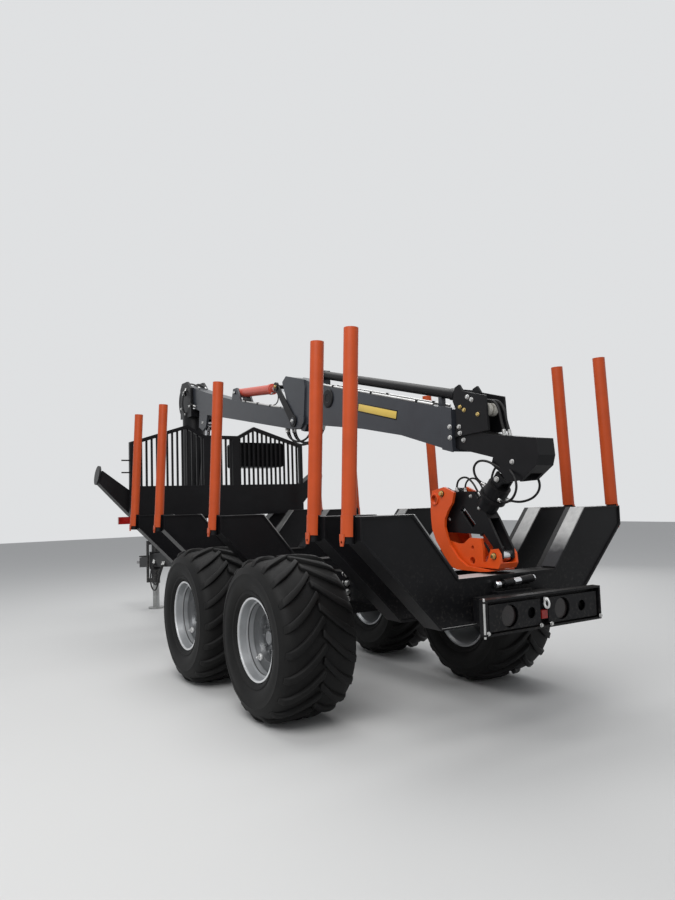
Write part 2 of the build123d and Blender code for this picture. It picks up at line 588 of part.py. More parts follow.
ext_z1 = EXT_MID_Z + EXT_H / 2
slide_y = EXT_HALF_Y + SLIDE_GAP
jib -= side_plate(slanted(JIB_END_X - 1, 1850, ext_z0 - SLIDE_GAP, ext_z1 + SLIDE_GAP), -slide_y, slide_y)

# extension cylinder above the jib, on lugs at the knuckle end and a saddle near the mouth
def on_tube(x):
    return (x, 0, EXT_CYL_Z + EXT_SLOPE * (x + 60))


rod_end_x = EXT_BRACKET_X - 60
tube = bar(on_tube(EXT_CYL_X1), on_tube(EXT_CYL_X0), EXT_CYL_R)
tube += bar(on_tube(EXT_CYL_X0 + 50), on_tube(EXT_CYL_X0), EXT_CYL_R + 6)
saddle = block(500, 535, -20, 20, 2190, on_tube(520)[2])
saddle += block(EXT_CYL_X1 - 60, EXT_CYL_X1 + 30, -EXT_CYL_R - 14, EXT_CYL_R + 14, 2600, on_tube(EXT_CYL_X1)[2] + 30)
jib += saddle - bar(on_tube(EXT_CYL_X1 + 0.3), on_tube(EXT_CYL_X0 - 20), EXT_CYL_R + SEAT_GAP)
keep("jib", jib)
tube -= bar(on_tube(EXT_CYL_X1 - 40), on_tube(EXT_CYL_X0 - 1), EXT_ROD_R + PIN_GAP)
keep("extension_cylinder", tube)
keep("extension_rod", bar(on_tube(1950), on_tube(rod_end_x + EXT_ROD_R * EXT_SLOPE), EXT_ROD_R))

# a link each side from the rod's eye to the knuckle's pin, outside the jib's cheeks
horn_x, horn_z = JIB_CYL_EYE
horn_run = math.hypot(horn_x - knuckle_x, horn_z - knuckle_z)
off_x = (horn_z - knuckle_z) / horn_run
off_z = (knuckle_x - horn_x) / horn_run
links = side_plates(
    ((horn_x + 34 * off_x, horn_z + 34 * off_z), (horn_x - 34 * off_x, horn_z - 34 * off_z),
     (knuckle_x - 46 * off_x, knuckle_z - 46 * off_z), (knuckle_x + 46 * off_x, knuckle_z + 46 * off_z)),
    link_y0, link_y1)
links += bosses(JIB_CYL_EYE, 44, link_y0, link_y1 + 8)
links += bosses(JIB_CYL_EYE, JIB_CYL_PIN_R, EYE_HALF + SIDE_GAP, link_y0)
links += bosses(KNUCKLE, 60, link_y0, link_y1)
links -= pin(KNUCKLE, BOOM_PIN_R + SEAT_GAP, link_y1 + 1)
keep("knuckle_links", links)

# extension: square tube, head with the slot for the link, and plates that take the rod
ext = side_plate(slanted(-60, 1800, ext_z0, ext_z1), -EXT_HALF_Y, EXT_HALF_Y)
tip_x, tip_z = TIP_PIN
ext += side_plate(
    ((-60, ext_z0), (-40, ext_z0 - 45), (-130, tip_z - 70), (tip_x + 60, tip_z - 125), (tip_x - 70, tip_z - 120),
     (tip_x - 200, tip_z - 33), (tip_x - 220, tip_z + 30), (tip_x - 210, tip_z + 135), (-60, ext_z1)),
    -EXT_HALF_Y, EXT_HALF_Y)
ext -= side_plate(
    ((-40, tip_z + 30), (-30, tip_z - 270), (tip_x - 130, tip_z - 270), (tip_x - 130, tip_z + 80), (-100, tip_z + 80)),
    -50, 50)
ext += pin(TIP_PIN, TIP_PIN_R, EXT_HALF_Y)
bracket = (
    (EXT_BRACKET_X, 1975), (EXT_BRACKET_X - 28, 2040), (EXT_BRACKET_X - 32, 2110), (EXT_BRACKET_X - 22, 2180),
    (EXT_BRACKET_X, 2225), (EXT_BRACKET_X - 25, 2320), (EXT_BRACKET_X - 70, 2335),
    (EXT_BRACKET_X - 105, 2285), (-30, 2225), (-45, 1990),
)
ext += side_plates(bracket, EXT_HALF_Y, EXT_HALF_Y + 18)
rod_stop = on_tube(rod_end_x)
ext += block(rod_stop[0] - 40, rod_stop[0], -EXT_HALF_Y - 5, EXT_HALF_Y + 5, rod_stop[2] - 45, rod_stop[2] + 40)
ext += pin(ROLLER_AT, 12, EXT_HALF_Y + 5)
keep("extension", ext)

roller = bar((ROLLER_AT[0], 8, ROLLER_AT[1]), (ROLLER_AT[0], 40, ROLLER_AT[1]), 44)
roller -= pin(ROLLER_AT, 12, 50)
keep("hose_rollers", Compound(children=[roller, mirrored(roller)]))

# link between the extension's head and the rotator, an eye at each end
rotator_x, rotator_z = ROTATOR_PIN
link_run = math.hypot(rotator_x - tip_x, rotator_z - tip_z)
side_x = (tip_z - rotator_z) / link_run
side_z = (rotator_x - tip_x) / link_run
link = side_plate(
    ((tip_x + 34 * side_x, tip_z + 34 * side_z), (rotator_x + 27 * side_x, rotator_z + 27 * side_z),
     (rotator_x - 27 * side_x, rotator_z - 27 * side_z), (tip_x - 34 * side_x, tip_z - 34 * side_z)), -24, 24)
link += pin(TIP_PIN, 42, 46)
link += pin(ROTATOR_PIN, 36, 30)
link -= pin(TIP_PIN, TIP_PIN_R + PIN_GAP, 50)
link -= pin(ROTATOR_PIN, ROTATOR_PIN_R + PIN_GAP, 50)
keep("swing_link", link)


def at_grapple(shape):
    return Pos(GRAPPLE_AT[0], 0, GRAPPLE_AT[1]) * Rot(0, -GRAPPLE_TILT, 0) * shape


# rotator: motor body, fork round the link's eye, and the spindle that holds the grapple
rotator = bar((0, 0, ROTATOR_Z0), (0, 0, ROTATOR_Z0 + 112), 80)
rotator += bar((0, 0, ROTATOR_Z0), (0, 0, ROTATOR_Z0 + 24), 94)
rotator += bar((0, 0, ROTATOR_Z0 - 45), (0, 0, ROTATOR_Z0), 40)
for y0, y1 in ((36, 54), (-54, -36)):
    rotator += block(-38, 38, y0, y1, ROTATOR_Z0 + 100, ROTATOR_Z0 + 203)
rotator = at_grapple(rotator) + pin(ROTATOR_PIN, ROTATOR_PIN_R, 60)
keep("rotator", rotator)

# grapple frame: two side plates, a top web, a round head and bushes for the jaws
front_x, front_z = JAW_PIN_FRONT
rear_x, rear_z = JAW_PIN_REAR
frame_side = (
    (front_x + 50, front_z - 10), (front_x + 10, front_z + 42), (front_x - 60, front_z + 10), (162, 1593),
    (29, 1410), (rear_x - 50, rear_z + 50), (rear_x - 50, rear_z - 15), (rear_x - 5, rear_z - 45),
    (rear_x + 45, rear_z - 30), (118, 1303), (455, 1310), (468, 1370),
)
body = side_plates(frame_side, 40, 56)
for slot in (((274, 1498), (301, 1460), (190, 1338), (154, 1372)), ((115, 1284), (83, 1314), (-6, 1218), (26, 1188))):
    body -= side_plates(slot, 39, 57)
body += side_plate(
    ((front_x - 60, front_z + 9), (162, 1592), (30, 1410), (44, 1402), (170, 1577), (front_x - 50, front_z - 7)),
    -40, 40)
body += at_grapple(bar((0, 0, 155), (0, 0, ROTATOR_Z0 - SEAT_GAP), 72))
body -= at_grapple(bar((0, 0, ROTATOR_Z0 - 46), (0, 0, ROTATOR_Z0), 40 + PIN_GAP))
body += bosses(JAW_PIN_FRONT, 40, 56, JAW_FRONT_Y - PIN_GAP)
body += bosses(JAW_PIN_REAR, 36, 56, JAW_REAR_Y - PIN_GAP)
body += pin(JAW_PIN_FRONT, JAW_PIN_R, JAW_FRONT_Y + 26)
body += pin(JAW_PIN_REAR, JAW_PIN_R, JAW_REAR_Y + 26)
keep("grapple_frame", body)

# jaw cylinder inside the frame, from under the head to the rear jaw's pin
ram_top = (290, 0, 1490)
ram_mid = (99, 0, 1299)
ram = bar(ram_top, ram_mid, 36)
ram += bar(ram_mid, (rear_x + 12, 0, rear_z + 14), 18)
ram += pin(JAW_PIN_REAR, 38, 39)
ram += pin((ram_top[0], ram_top[2]), 34, 39.7)
ram -= pin(JAW_PIN_REAR, JAW_PIN_R + SEAT_GAP, 50)
keep("grapple_cylinder", ram)

# jaws: outlines of (x, z) in the parked place
jaw_outer = (
    (295, 1589), (402, 1630), (529, 1607), (546, 1558), (555, 1480), (554, 1411), (546, 1330), (506, 1250),
    (436, 1164), (372, 1096), (345, 1075), (290, 1060), (60, 1060), (-20, 1066),
)
jaw_inner = (
    (-20, 1076), (100, 1085), (193, 1090), (282, 1140), (360, 1223), (387, 1277), (409, 1348), (403, 1404),
    (369, 1460), (318, 1518),
)
shell_inner = (
    (-20, 1074), (60, 1072), (286, 1072), (338, 1085), (364, 1105), (427, 1172), (496, 1256), (534, 1333),
    (542, 1411), (543, 1480),
)
jaw = side_plates(jaw_outer + jaw_inner, JAW_FRONT_Y, JAW_FRONT_Y + 20)
jaw += side_plate(jaw_outer[4:] + shell_inner, -JAW_FRONT_Y, JAW_FRONT_Y)
jaw += bosses(JAW_HOLE, 40, JAW_FRONT_Y + 15, JAW_FRONT_Y + 30)
jaw -= pin(JAW_HOLE, 30, JAW_FRONT_Y + 40)
jaw -= pin(JAW_PIN_FRONT, JAW_PIN_R + PIN_GAP, JAW_FRONT_Y + 40)
keep("grapple_jaw_front", jaw)
small_outer = (
    (rear_x - 25, rear_z + 48), (rear_x - 50, rear_z + 15), (-92, 1120), (-70, 1084), (250, 1084), (310, 1090),
    (350, 1115), (405, 1172), (428, 1215),
)
small_inner = (
    (404, 1250), (314, 1235), (254, 1237), (194, 1278), (82, 1277), (66, 1198), (68, 1120), (30, 1128),
    (rear_x + 50, rear_z), (rear_x + 30, rear_z + 42),
)
small_shell = (
    (-92, 1120), (-70, 1084), (250, 1084), (250, 1096), (-64, 1096), (-80, 1124),
)
jaw = side_plates(small_outer + small_inner, JAW_REAR_Y, JAW_REAR_Y + 20)
jaw += side_plate(small_shell, -JAW_REAR_Y, JAW_REAR_Y)
jaw -= pin((167, 1213), 14, JAW_REAR_Y + 30)
jaw -= pin((172, 1126), 24, JAW_REAR_Y + 30)
jaw -= pin(JAW_PIN_REAR, JAW_PIN_R + PIN_GAP, JAW_REAR_Y + 30)
keep("grapple_jaw_rear", jaw)
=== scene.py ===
import json
import math

import bpy
from mathutils import Matrix, Vector


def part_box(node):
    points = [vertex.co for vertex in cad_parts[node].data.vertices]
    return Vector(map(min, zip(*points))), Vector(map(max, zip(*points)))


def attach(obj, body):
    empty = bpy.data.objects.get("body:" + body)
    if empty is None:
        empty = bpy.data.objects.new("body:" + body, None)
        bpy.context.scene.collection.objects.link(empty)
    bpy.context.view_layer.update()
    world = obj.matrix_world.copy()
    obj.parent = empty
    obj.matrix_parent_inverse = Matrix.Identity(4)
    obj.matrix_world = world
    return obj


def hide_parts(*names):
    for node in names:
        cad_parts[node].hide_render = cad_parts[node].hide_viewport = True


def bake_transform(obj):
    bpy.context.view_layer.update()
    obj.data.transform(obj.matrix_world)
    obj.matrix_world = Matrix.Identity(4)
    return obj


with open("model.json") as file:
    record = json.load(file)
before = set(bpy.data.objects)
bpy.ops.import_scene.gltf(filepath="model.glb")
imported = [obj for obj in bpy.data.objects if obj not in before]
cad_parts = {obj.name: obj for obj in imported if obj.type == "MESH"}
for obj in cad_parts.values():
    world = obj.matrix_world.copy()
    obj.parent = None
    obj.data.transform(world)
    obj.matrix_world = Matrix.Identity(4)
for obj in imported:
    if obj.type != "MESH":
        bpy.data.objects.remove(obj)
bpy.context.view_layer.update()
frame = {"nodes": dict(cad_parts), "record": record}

# Forestry trailer with a loading crane laid back over its bunks.
# Metres, +X to the tractor, +Y left, +Z up, ground at z = 0.

# the photograph's frame and the camera that took it
PHOTO_HEIGHT = 900
FOCAL_PIXELS = 713
CAMERA_AT = Vector((-7.377, 3.399, 1.555))
CAMERA_YAW = math.radians(31.75)
CAMERA_PITCH = math.radians(4.08)
CAMERA_ROLL = math.radians(-1.69)

# tyres: radius over the lugs, half width, lugs on each side
TYRE_R = 0.585
TYRE_HALF_W = 0.298
LUG_H = 0.029
LUG_W = 0.058
LUGS_PER_SIDE = 20
WHEEL_Z = 0.585
WHEEL_Y = 0.965

Y_AXIS = Vector((0, 1, 0))

# where the CAD source measures x from, ahead of the origin here
REAR_BUNK_X = -3.88


def at(x, y, z):
    """Point in the CAD source's millimetres, with x from the rear bunk's middle."""
    return Vector((x / 1000 + REAR_BUNK_X, y / 1000, z / 1000))


def nothing_selected():
    for obj in bpy.context.selected_objects:
        obj.select_set(False)


def select_only(obj):
    nothing_selected()
    obj.select_set(True)
    bpy.context.view_layer.objects.active = obj


def make_camera():
    forward = Vector((math.cos(CAMERA_PITCH) * math.cos(CAMERA_YAW),
                      -math.cos(CAMERA_PITCH) * math.sin(CAMERA_YAW), math.sin(CAMERA_PITCH)))
    level = Vector((-math.sin(CAMERA_YAW), -math.cos(CAMERA_YAW), 0))
    upright = level.cross(forward)
    right = math.cos(CAMERA_ROLL) * level + math.sin(CAMERA_ROLL) * upright
    up = math.cos(CAMERA_ROLL) * upright - math.sin(CAMERA_ROLL) * level
    camera = bpy.data.objects.new("camera", bpy.data.cameras.new("camera"))
    camera.data.sensor_width = 36
    camera.data.lens = camera.data.sensor_width * FOCAL_PIXELS / PHOTO_HEIGHT
    turn = Matrix((right, up, -forward)).transposed()
    camera.matrix_world = Matrix.Translation(CAMERA_AT) @ turn.to_4x4()
    bpy.context.scene.collection.objects.link(camera)
    bpy.context.scene.camera = camera


# materials

def add_node(tree, kind, inputs=(), **settings):
    """A node with its settings; inputs give a socket's name and its value or the socket linked to it."""
    node = tree.nodes.new(kind)
    for name, value in settings.items():
        setattr(node, name, value)
    for name, value in inputs:
        if isinstance(value, bpy.types.NodeSocket):
            tree.links.new(value, node.inputs[name])
        else:
            node.inputs[name].default_value = value
    return node


def math_node(tree, operation, a, b=0.0, clamp=False):
    node = add_node(tree, "ShaderNodeMath", ((0, a), (1, b)), operation=operation, use_clamp=clamp)
    return node.outputs[0]


def spread(tree, value, low, high):
    """Value mapped so that low becomes 0 and high becomes 1."""
    node = add_node(tree, "ShaderNodeMapRange", (("Value", value), ("From Min", low), ("From Max", high)))
    return node.outputs["Result"]


def mixed(tree, share, a, b):
    node = add_node(tree, "ShaderNodeMix", (("Factor", share), (6, a), (7, b)), data_type="RGBA")
    return node.outputs[2]


def noise(tree, place, scale, detail=4.0, roughness=0.55):
    node = add_node(tree, "ShaderNodeTexNoise",
                    (("Vector", place), ("Scale", scale), ("Detail", detail), ("Roughness", roughness)))
    return node.outputs["Fac"]


def place_on(tree):
    """Each point's place in the part's own coordinates."""
    return add_node(tree, "ShaderNodeTexCoord").outputs["Object"]


def component(tree, vector, axis):
    return add_node(tree, "ShaderNodeSeparateXYZ", (("Vector", vector),)).outputs[axis]


def between(tree, value, start, full, fades, gone):
    """Mask that rises from start to full and falls again from fades to gone."""
    return math_node(tree, "MULTIPLY", spread(tree, value, start, full), spread(tree, value, gone, fades))


def new_group(name, inputs, outputs):
    group = bpy.data.node_groups.new(name, "ShaderNodeTree")
    for socket, value in inputs:
        item = group.interface.new_socket(name=socket, in_out="INPUT", socket_type="NodeSocketFloat")
        item.default_value = value
    for socket in outputs:
        group.interface.new_socket(name=socket, in_out="OUTPUT", socket_type="NodeSocketFloat")
    return group, group.nodes.new("NodeGroupInput"), group.nodes.new("NodeGroupOutput")


def worn_edges_group():
    """Mask of rubbed edges, broken up by noise."""
    group, given, out = new_group("worn edges", (("Radius", 0.003), ("Amount", 1.0)), ("Mask",))
    rounded = add_node(group, "ShaderNodeBevel", (("Radius", given.outputs["Radius"]),), samples=4)
    flat = add_node(group, "ShaderNodeNewGeometry")
    facing = add_node(group, "ShaderNodeVectorMath", ((0, rounded.outputs[0]), (1, flat.outputs["Normal"])),
                      operation="DOT_PRODUCT")
    edge = spread(group, facing.outputs["Value"], 0.985, 0.80)
    place = place_on(group)
    patches = spread(group, noise(group, place, 9.0, 6.0, 0.7), 0.46, 0.66)
    rubbed = math_node(group, "MULTIPLY", edge, patches)
    mask = math_node(group, "MULTIPLY", rubbed, given.outputs["Amount"], True)
    group.links.new(mask, out.inputs["Mask"])
    return group


def dust_group():
    """Mask of dust that lies on top faces, with splashes that grow towards the ground."""
    group, given, out = new_group("settled dust", (("Amount", 0.5), ("Splash", 0.5)), ("Mask",))
    place = place_on(group)
    normal = add_node(group, "ShaderNodeNewGeometry").outputs["Normal"]
    facing = component(group, normal, "Z")
    top = spread(group, facing, 0.2, 1.0)
    cloudy = spread(group, noise(group, place, 2.6, 6.0, 0.65), 0.30, 0.75)
    film = math_node(group, "MULTIPLY", top, cloudy)
    lying = math_node(group, "MULTIPLY", film, given.outputs["Amount"])
    height = component(group, place, "Z")
    low = spread(group, height, 1.3, 0.15)
    specks = spread(group, noise(group, place, 55.0, 3.0, 0.6), 0.54, 0.68)
    spots = math_node(group, "MULTIPLY", low, specks)
    splashed = math_node(group, "MULTIPLY", spots, given.outputs["Splash"])
    mask = math_node(group, "MAXIMUM", lying, splashed, True)
    group.links.new(mask, out.inputs["Mask"])
    return group


def skin_group():
    """Height of a sprayed surface: fine orange peel on a slow wave."""
    group, given, out = new_group("sprayed skin", (("Grain", 260.0),), ("Height", "Patches"))
    place = place_on(group)
    fine = noise(group, place, given.outputs["Grain"], 2.0, 0.5)
    slow = noise(group, place, 3.5, 3.0, 0.5)
    height = math_node(group, "ADD", math_node(group, "MULTIPLY", fine, 0.35), slow)
    group.links.new(height, out.inputs["Height"])
    group.links.new(spread(group, noise(group, place, 6.0, 5.0, 0.6), 0.3, 0.7), out.inputs["Patches"])
    return group


GROUPS = {"edges": worn_edges_group(), "dust": dust_group(), "skin": skin_group()}


def grouped(tree, name, inputs=()):
    node = tree.nodes.new("ShaderNodeGroup")
    node.node_tree = GROUPS[name]
    for socket, value in inputs:
        node.inputs[socket].default_value = value
    return node


def new_material(name):
    material = bpy.data.materials.new(name)
    material.use_nodes = True
    tree = material.node_tree
    shader = tree.nodes["Principled BSDF"]
    return material, tree, shader


def bumped(tree, shader, height, strength, distance, edge_radius=0.0025):
    """Bump over edges that look rounded off."""
    rounded = add_node(tree, "ShaderNodeBevel", (("Radius", edge_radius),), samples=4)
    bump = add_node(tree, "ShaderNodeBump", (
        ("Strength", strength), ("Distance", distance), ("Height", height), ("Normal", rounded.outputs[0])))
    tree.links.new(bump.outputs["Normal"], shader.inputs["Normal"])


DUST = (0.30, 0.275, 0.24, 1)

# strength and depth in metres of the sprayed skin's relief
SKIN_RELIEF = (0.25, 0.0006)


def paint(name, colour, shade, rough, dust, splash, wear, wear_colour, coat=0.0, grain=260.0, gleam=0.5):
    """Sprayed paint: two close shades in patches, rubbed edges and settled dust."""
    material, tree, shader = new_material(name)
    skin = grouped(tree, "skin", (("Grain", grain),))
    edges = grouped(tree, "edges", (("Amount", wear),)).outputs["Mask"]
    dirt = grouped(tree, "dust", (("Amount", dust), ("Splash", splash))).outputs["Mask"]
    body = mixed(tree, skin.outputs["Patches"], (*colour, 1), (*shade, 1))
    body = mixed(tree, edges, body, (*wear_colour, 1))
    body = mixed(tree, dirt, body, DUST)
    tree.links.new(body, shader.inputs["Base Color"])
    matt = math_node(tree, "MULTIPLY_ADD", dirt, 0.45)
    matt.node.inputs[2].default_value = rough
    tree.links.new(matt, shader.inputs["Roughness"])
    shader.inputs["Specular IOR Level"].default_value = gleam
    shader.inputs["Coat Weight"].default_value = coat
    shader.inputs["Coat Roughness"].default_value = 0.12
    bumped(tree, shader, skin.outputs["Height"], *SKIN_RELIEF)
    return material


def rubber(name, colour, dust_colour, dust, rough, grain):
    """Rubber with fine grain, dulled by road dust in its hollows and low down."""
    material, tree, shader = new_material(name)
    place = place_on(tree)
    film = grouped(tree, "dust", (("Amount", dust), ("Splash", dust * 1.3))).outputs["Mask"]
    patches = spread(tree, noise(tree, place, 5.0, 6.0, 0.7), 0.38, 0.72)
    body = mixed(tree, math_node(tree, "MULTIPLY", patches, 0.5), (*colour, 1), (*dust_colour, 1))
    body = mixed(tree, film, body, (*dust_colour, 1))
    tree.links.new(body, shader.inputs["Base Color"])
    shader.inputs["Roughness"].default_value = rough
    shader.inputs["Specular IOR Level"].default_value = 0.2
    height = noise(tree, place, grain, 3.0, 0.6)
    bumped(tree, shader, height, 0.35, 0.0008, 0.004)
    return material


def bare_metal(name, colour, shade, rough, streak, wear=0.0, metallic=1.0):
    """Bare or plated steel with streaks drawn out along one axis."""
    material, tree, shader = new_material(name)
    place = place_on(tree)
    stretched = add_node(tree, "ShaderNodeMapping", (("Vector", place), ("Scale", streak))).outputs["Vector"]
    drawn = noise(tree, stretched, 40.0, 4.0, 0.6)
    patches = spread(tree, noise(tree, place, 7.0, 6.0, 0.7), 0.35, 0.7)
    body = mixed(tree, patches, (*colour, 1), (*shade, 1))
    edges = grouped(tree, "edges", (("Amount", wear),)).outputs["Mask"]
    body = mixed(tree, edges, body, (0.75, 0.75, 0.76, 1))
    tree.links.new(body, shader.inputs["Base Color"])
    shader.inputs["Metallic"].default_value = metallic
    polish = math_node(tree, "MULTIPLY_ADD", drawn, 0.25)
    polish.node.inputs[2].default_value = rough - 0.1
    tree.links.new(polish, shader.inputs["Roughness"])
    bumped(tree, shader, drawn, 0.12, 0.0005)
    return material


def ribbed(tree, shader, place):
    """Close moulded ribs across a lens."""
    ribs = add_node(tree, "ShaderNodeTexWave", (("Vector", place), ("Scale", 45.0), ("Distortion", 0.3)),
                    bands_direction="Z")
    bumped(tree, shader, ribs.outputs["Fac"], 0.4, 0.001)


def lamp_glass(name, colour):
    """Moulded lens with close ribs."""
    material, tree, shader = new_material(name)
    place = place_on(tree)
    patches = spread(tree, noise(tree, place, 12.0), 0.3, 0.7)
    darker = tuple(0.55 * c for c in colour)
    tree.links.new(mixed(tree, patches, (*colour, 1), (*darker, 1)), shader.inputs["Base Color"])
    shader.inputs["Roughness"].default_value = 0.18
    shader.inputs["Coat Weight"].default_value = 0.6
    ribbed(tree, shader, place)
    return material


def two_tone_steel(name, low, high):
    """Zinc-plated below the height low, black above high, with a rubbed border between them."""
    material, tree, shader = new_material(name)
    place = place_on(tree)
    height = component(tree, place, "Z")
    black = spread(tree, height, low, high)
    patches = spread(tree, noise(tree, place, 9.0, 6.0, 0.7), 0.35, 0.7)
    zinc = mixed(tree, patches, (0.40, 0.41, 0.41, 1), (0.24, 0.24, 0.235, 1))
    dirt = grouped(tree, "dust", (("Amount", 0.3), ("Splash", 0.6))).outputs["Mask"]
    body = mixed(tree, dirt, mixed(tree, black, zinc, (0.012, 0.012, 0.013, 1)), DUST)
    tree.links.new(body, shader.inputs["Base Color"])
    tree.links.new(math_node(tree, "SUBTRACT", 0.8, black, True), shader.inputs["Metallic"])
    shader.inputs["Roughness"].default_value = 0.42
    bumped(tree, shader, noise(tree, place, 180.0, 2.0), 0.2, 0.0005)
    return material


def lamp_row(name):
    """The round lamps away from the middle are smoked glass, and the one near it is a red lens."""
    material, tree, shader = new_material(name)
    place = place_on(tree)
    across = component(tree, place, "Y")
    red_half_y = 0.06
    smoked = math_node(tree, "GREATER_THAN", math_node(tree, "ABSOLUTE", across), red_half_y)
    cloudy = spread(tree, noise(tree, place, 14.0), 0.3, 0.7)
    red = mixed(tree, cloudy, (0.30, 0.012, 0.010, 1), (0.19, 0.01, 0.008, 1))
    filmed = spread(tree, noise(tree, place, 9.0), 0.3, 0.7)
    glass = mixed(tree, filmed, (0.010, 0.009, 0.009, 1), (0.02, 0.014, 0.014, 1))
    tree.links.new(mixed(tree, smoked, red, glass), shader.inputs["Base Color"])
    shader.inputs["Roughness"].default_value = 0.16
    ribbed(tree, shader, place)
    return material


def wheel_silver_painted_light(name):
    """Silver paint with a painted highlight on the rim's lip and painted shade in the recessed disc."""
    material, tree, shader = new_material(name)
    place = place_on(tree)
    across = component(tree, place, "Y")
    out = math_node(tree, "ABSOLUTE", across)
    # distances from the trailer's middle plane at which the disc's painted shade, the barrel's dark seam and
    # the lip's painted highlight begin and end
    disc_y = (1.0, 1.02, 1.104, 1.114)
    seam_y = (1.140, 1.144, 1.149, 1.153)
    highlight_lip_y = (1.205, 1.214)
    patches = spread(tree, noise(tree, place, 6.0, 5.0, 0.6), 0.3, 0.7)
    body = mixed(tree, patches, (0.42, 0.43, 0.44, 1), (0.33, 0.34, 0.35, 1))
    # painted shade: the recessed disc is darkened where it lies in shade
    body = mixed(tree, between(tree, out, *disc_y), body, (0.125, 0.130, 0.135, 1))
    body = mixed(tree, between(tree, out, *seam_y), body, (0.09, 0.09, 0.092, 1))
    # painted highlight: the lip is made near white, as if it catches the light
    body = mixed(tree, spread(tree, out, *highlight_lip_y), body, (0.80, 0.81, 0.82, 1))
    dirt = grouped(tree, "dust", (("Amount", 0.08), ("Splash", 0.25))).outputs["Mask"]
    tree.links.new(mixed(tree, dirt, body, DUST), shader.inputs["Base Color"])
    shader.inputs["Metallic"].default_value = 0.55
    shader.inputs["Roughness"].default_value = 0.34
    skin = grouped(tree, "skin", (("Grain", 260.0),))
    bumped(tree, shader, skin.outputs["Height"], *SKIN_RELIEF)
    return material


def overlaid(material, mask, colour):
    """Colour laid over what the material shows, where the mask is 1."""
    tree = material.node_tree
    socket = tree.nodes["Principled BSDF"].inputs["Base Color"]
    tree.links.new(mixed(tree, mask, socket.links[0].from_socket, (*colour, 1)), socket)
    return material


def rubbed_plate(name):
    """Galvanised plate, bright where logs rub it and dark towards its foot."""
    material = bare_metal(name, (0.36, 0.36, 0.355), (0.26, 0.26, 0.26), 0.50, (1, 1, 1), 0.5)
    tree = material.node_tree
    place = place_on(tree)
    height = component(tree, place, "Z")
    bright_above = 1.33
    dark_below = 1.21
    ragged = math_node(tree, "MULTIPLY_ADD", noise(tree, place, 14.0, 5.0, 0.6), 0.10)
    tree.links.new(height, ragged.node.inputs[2])
    return overlaid(material, spread(tree, ragged, bright_above, dark_below), (0.045, 0.045, 0.048))


# the black paint of frame and bunks, its colour set darker than the paint's own black as painted shade
BLACK_WITH_PAINTED_SHADE = {"colour": (0.0045, 0.0045, 0.0053), "shade": (0.0072, 0.0072, 0.0083), "rough": 0.40, "dust": 0.07,
         "splash": 0.16, "wear": 0.5, "wear_colour": (0.12, 0.12, 0.125), "coat": 0.03, "gleam": 0.17}


def scuffed_bed(name):
    """Black paint rubbed to bright steel where logs and the grapple lie on the bed, left of its middle."""
    material = paint(name, **BLACK_WITH_PAINTED_SHADE)
    tree = material.node_tree
    place = place_on(tree)
    facing = add_node(tree, "ShaderNodeNewGeometry").outputs["Normal"]
    up = component(tree, facing, "Z")
    ragged = math_node(tree, "MULTIPLY_ADD", noise(tree, place, 22.0, 5.0, 0.65), 0.16)
    tree.links.new(component(tree, place, "Y"), ragged.node.inputs[2])
    left_part = spread(tree, ragged, 0.16, 0.24)
    bed_level = spread(tree, component(tree, place, "Z"), 1.12, 1.08)
    mask = math_node(tree, "MULTIPLY", left_part, bed_level)
    mask = math_node(tree, "MULTIPLY", mask, spread(tree, up, 0.2, 0.4))
    return overlaid(material, mask, (0.50, 0.50, 0.49))


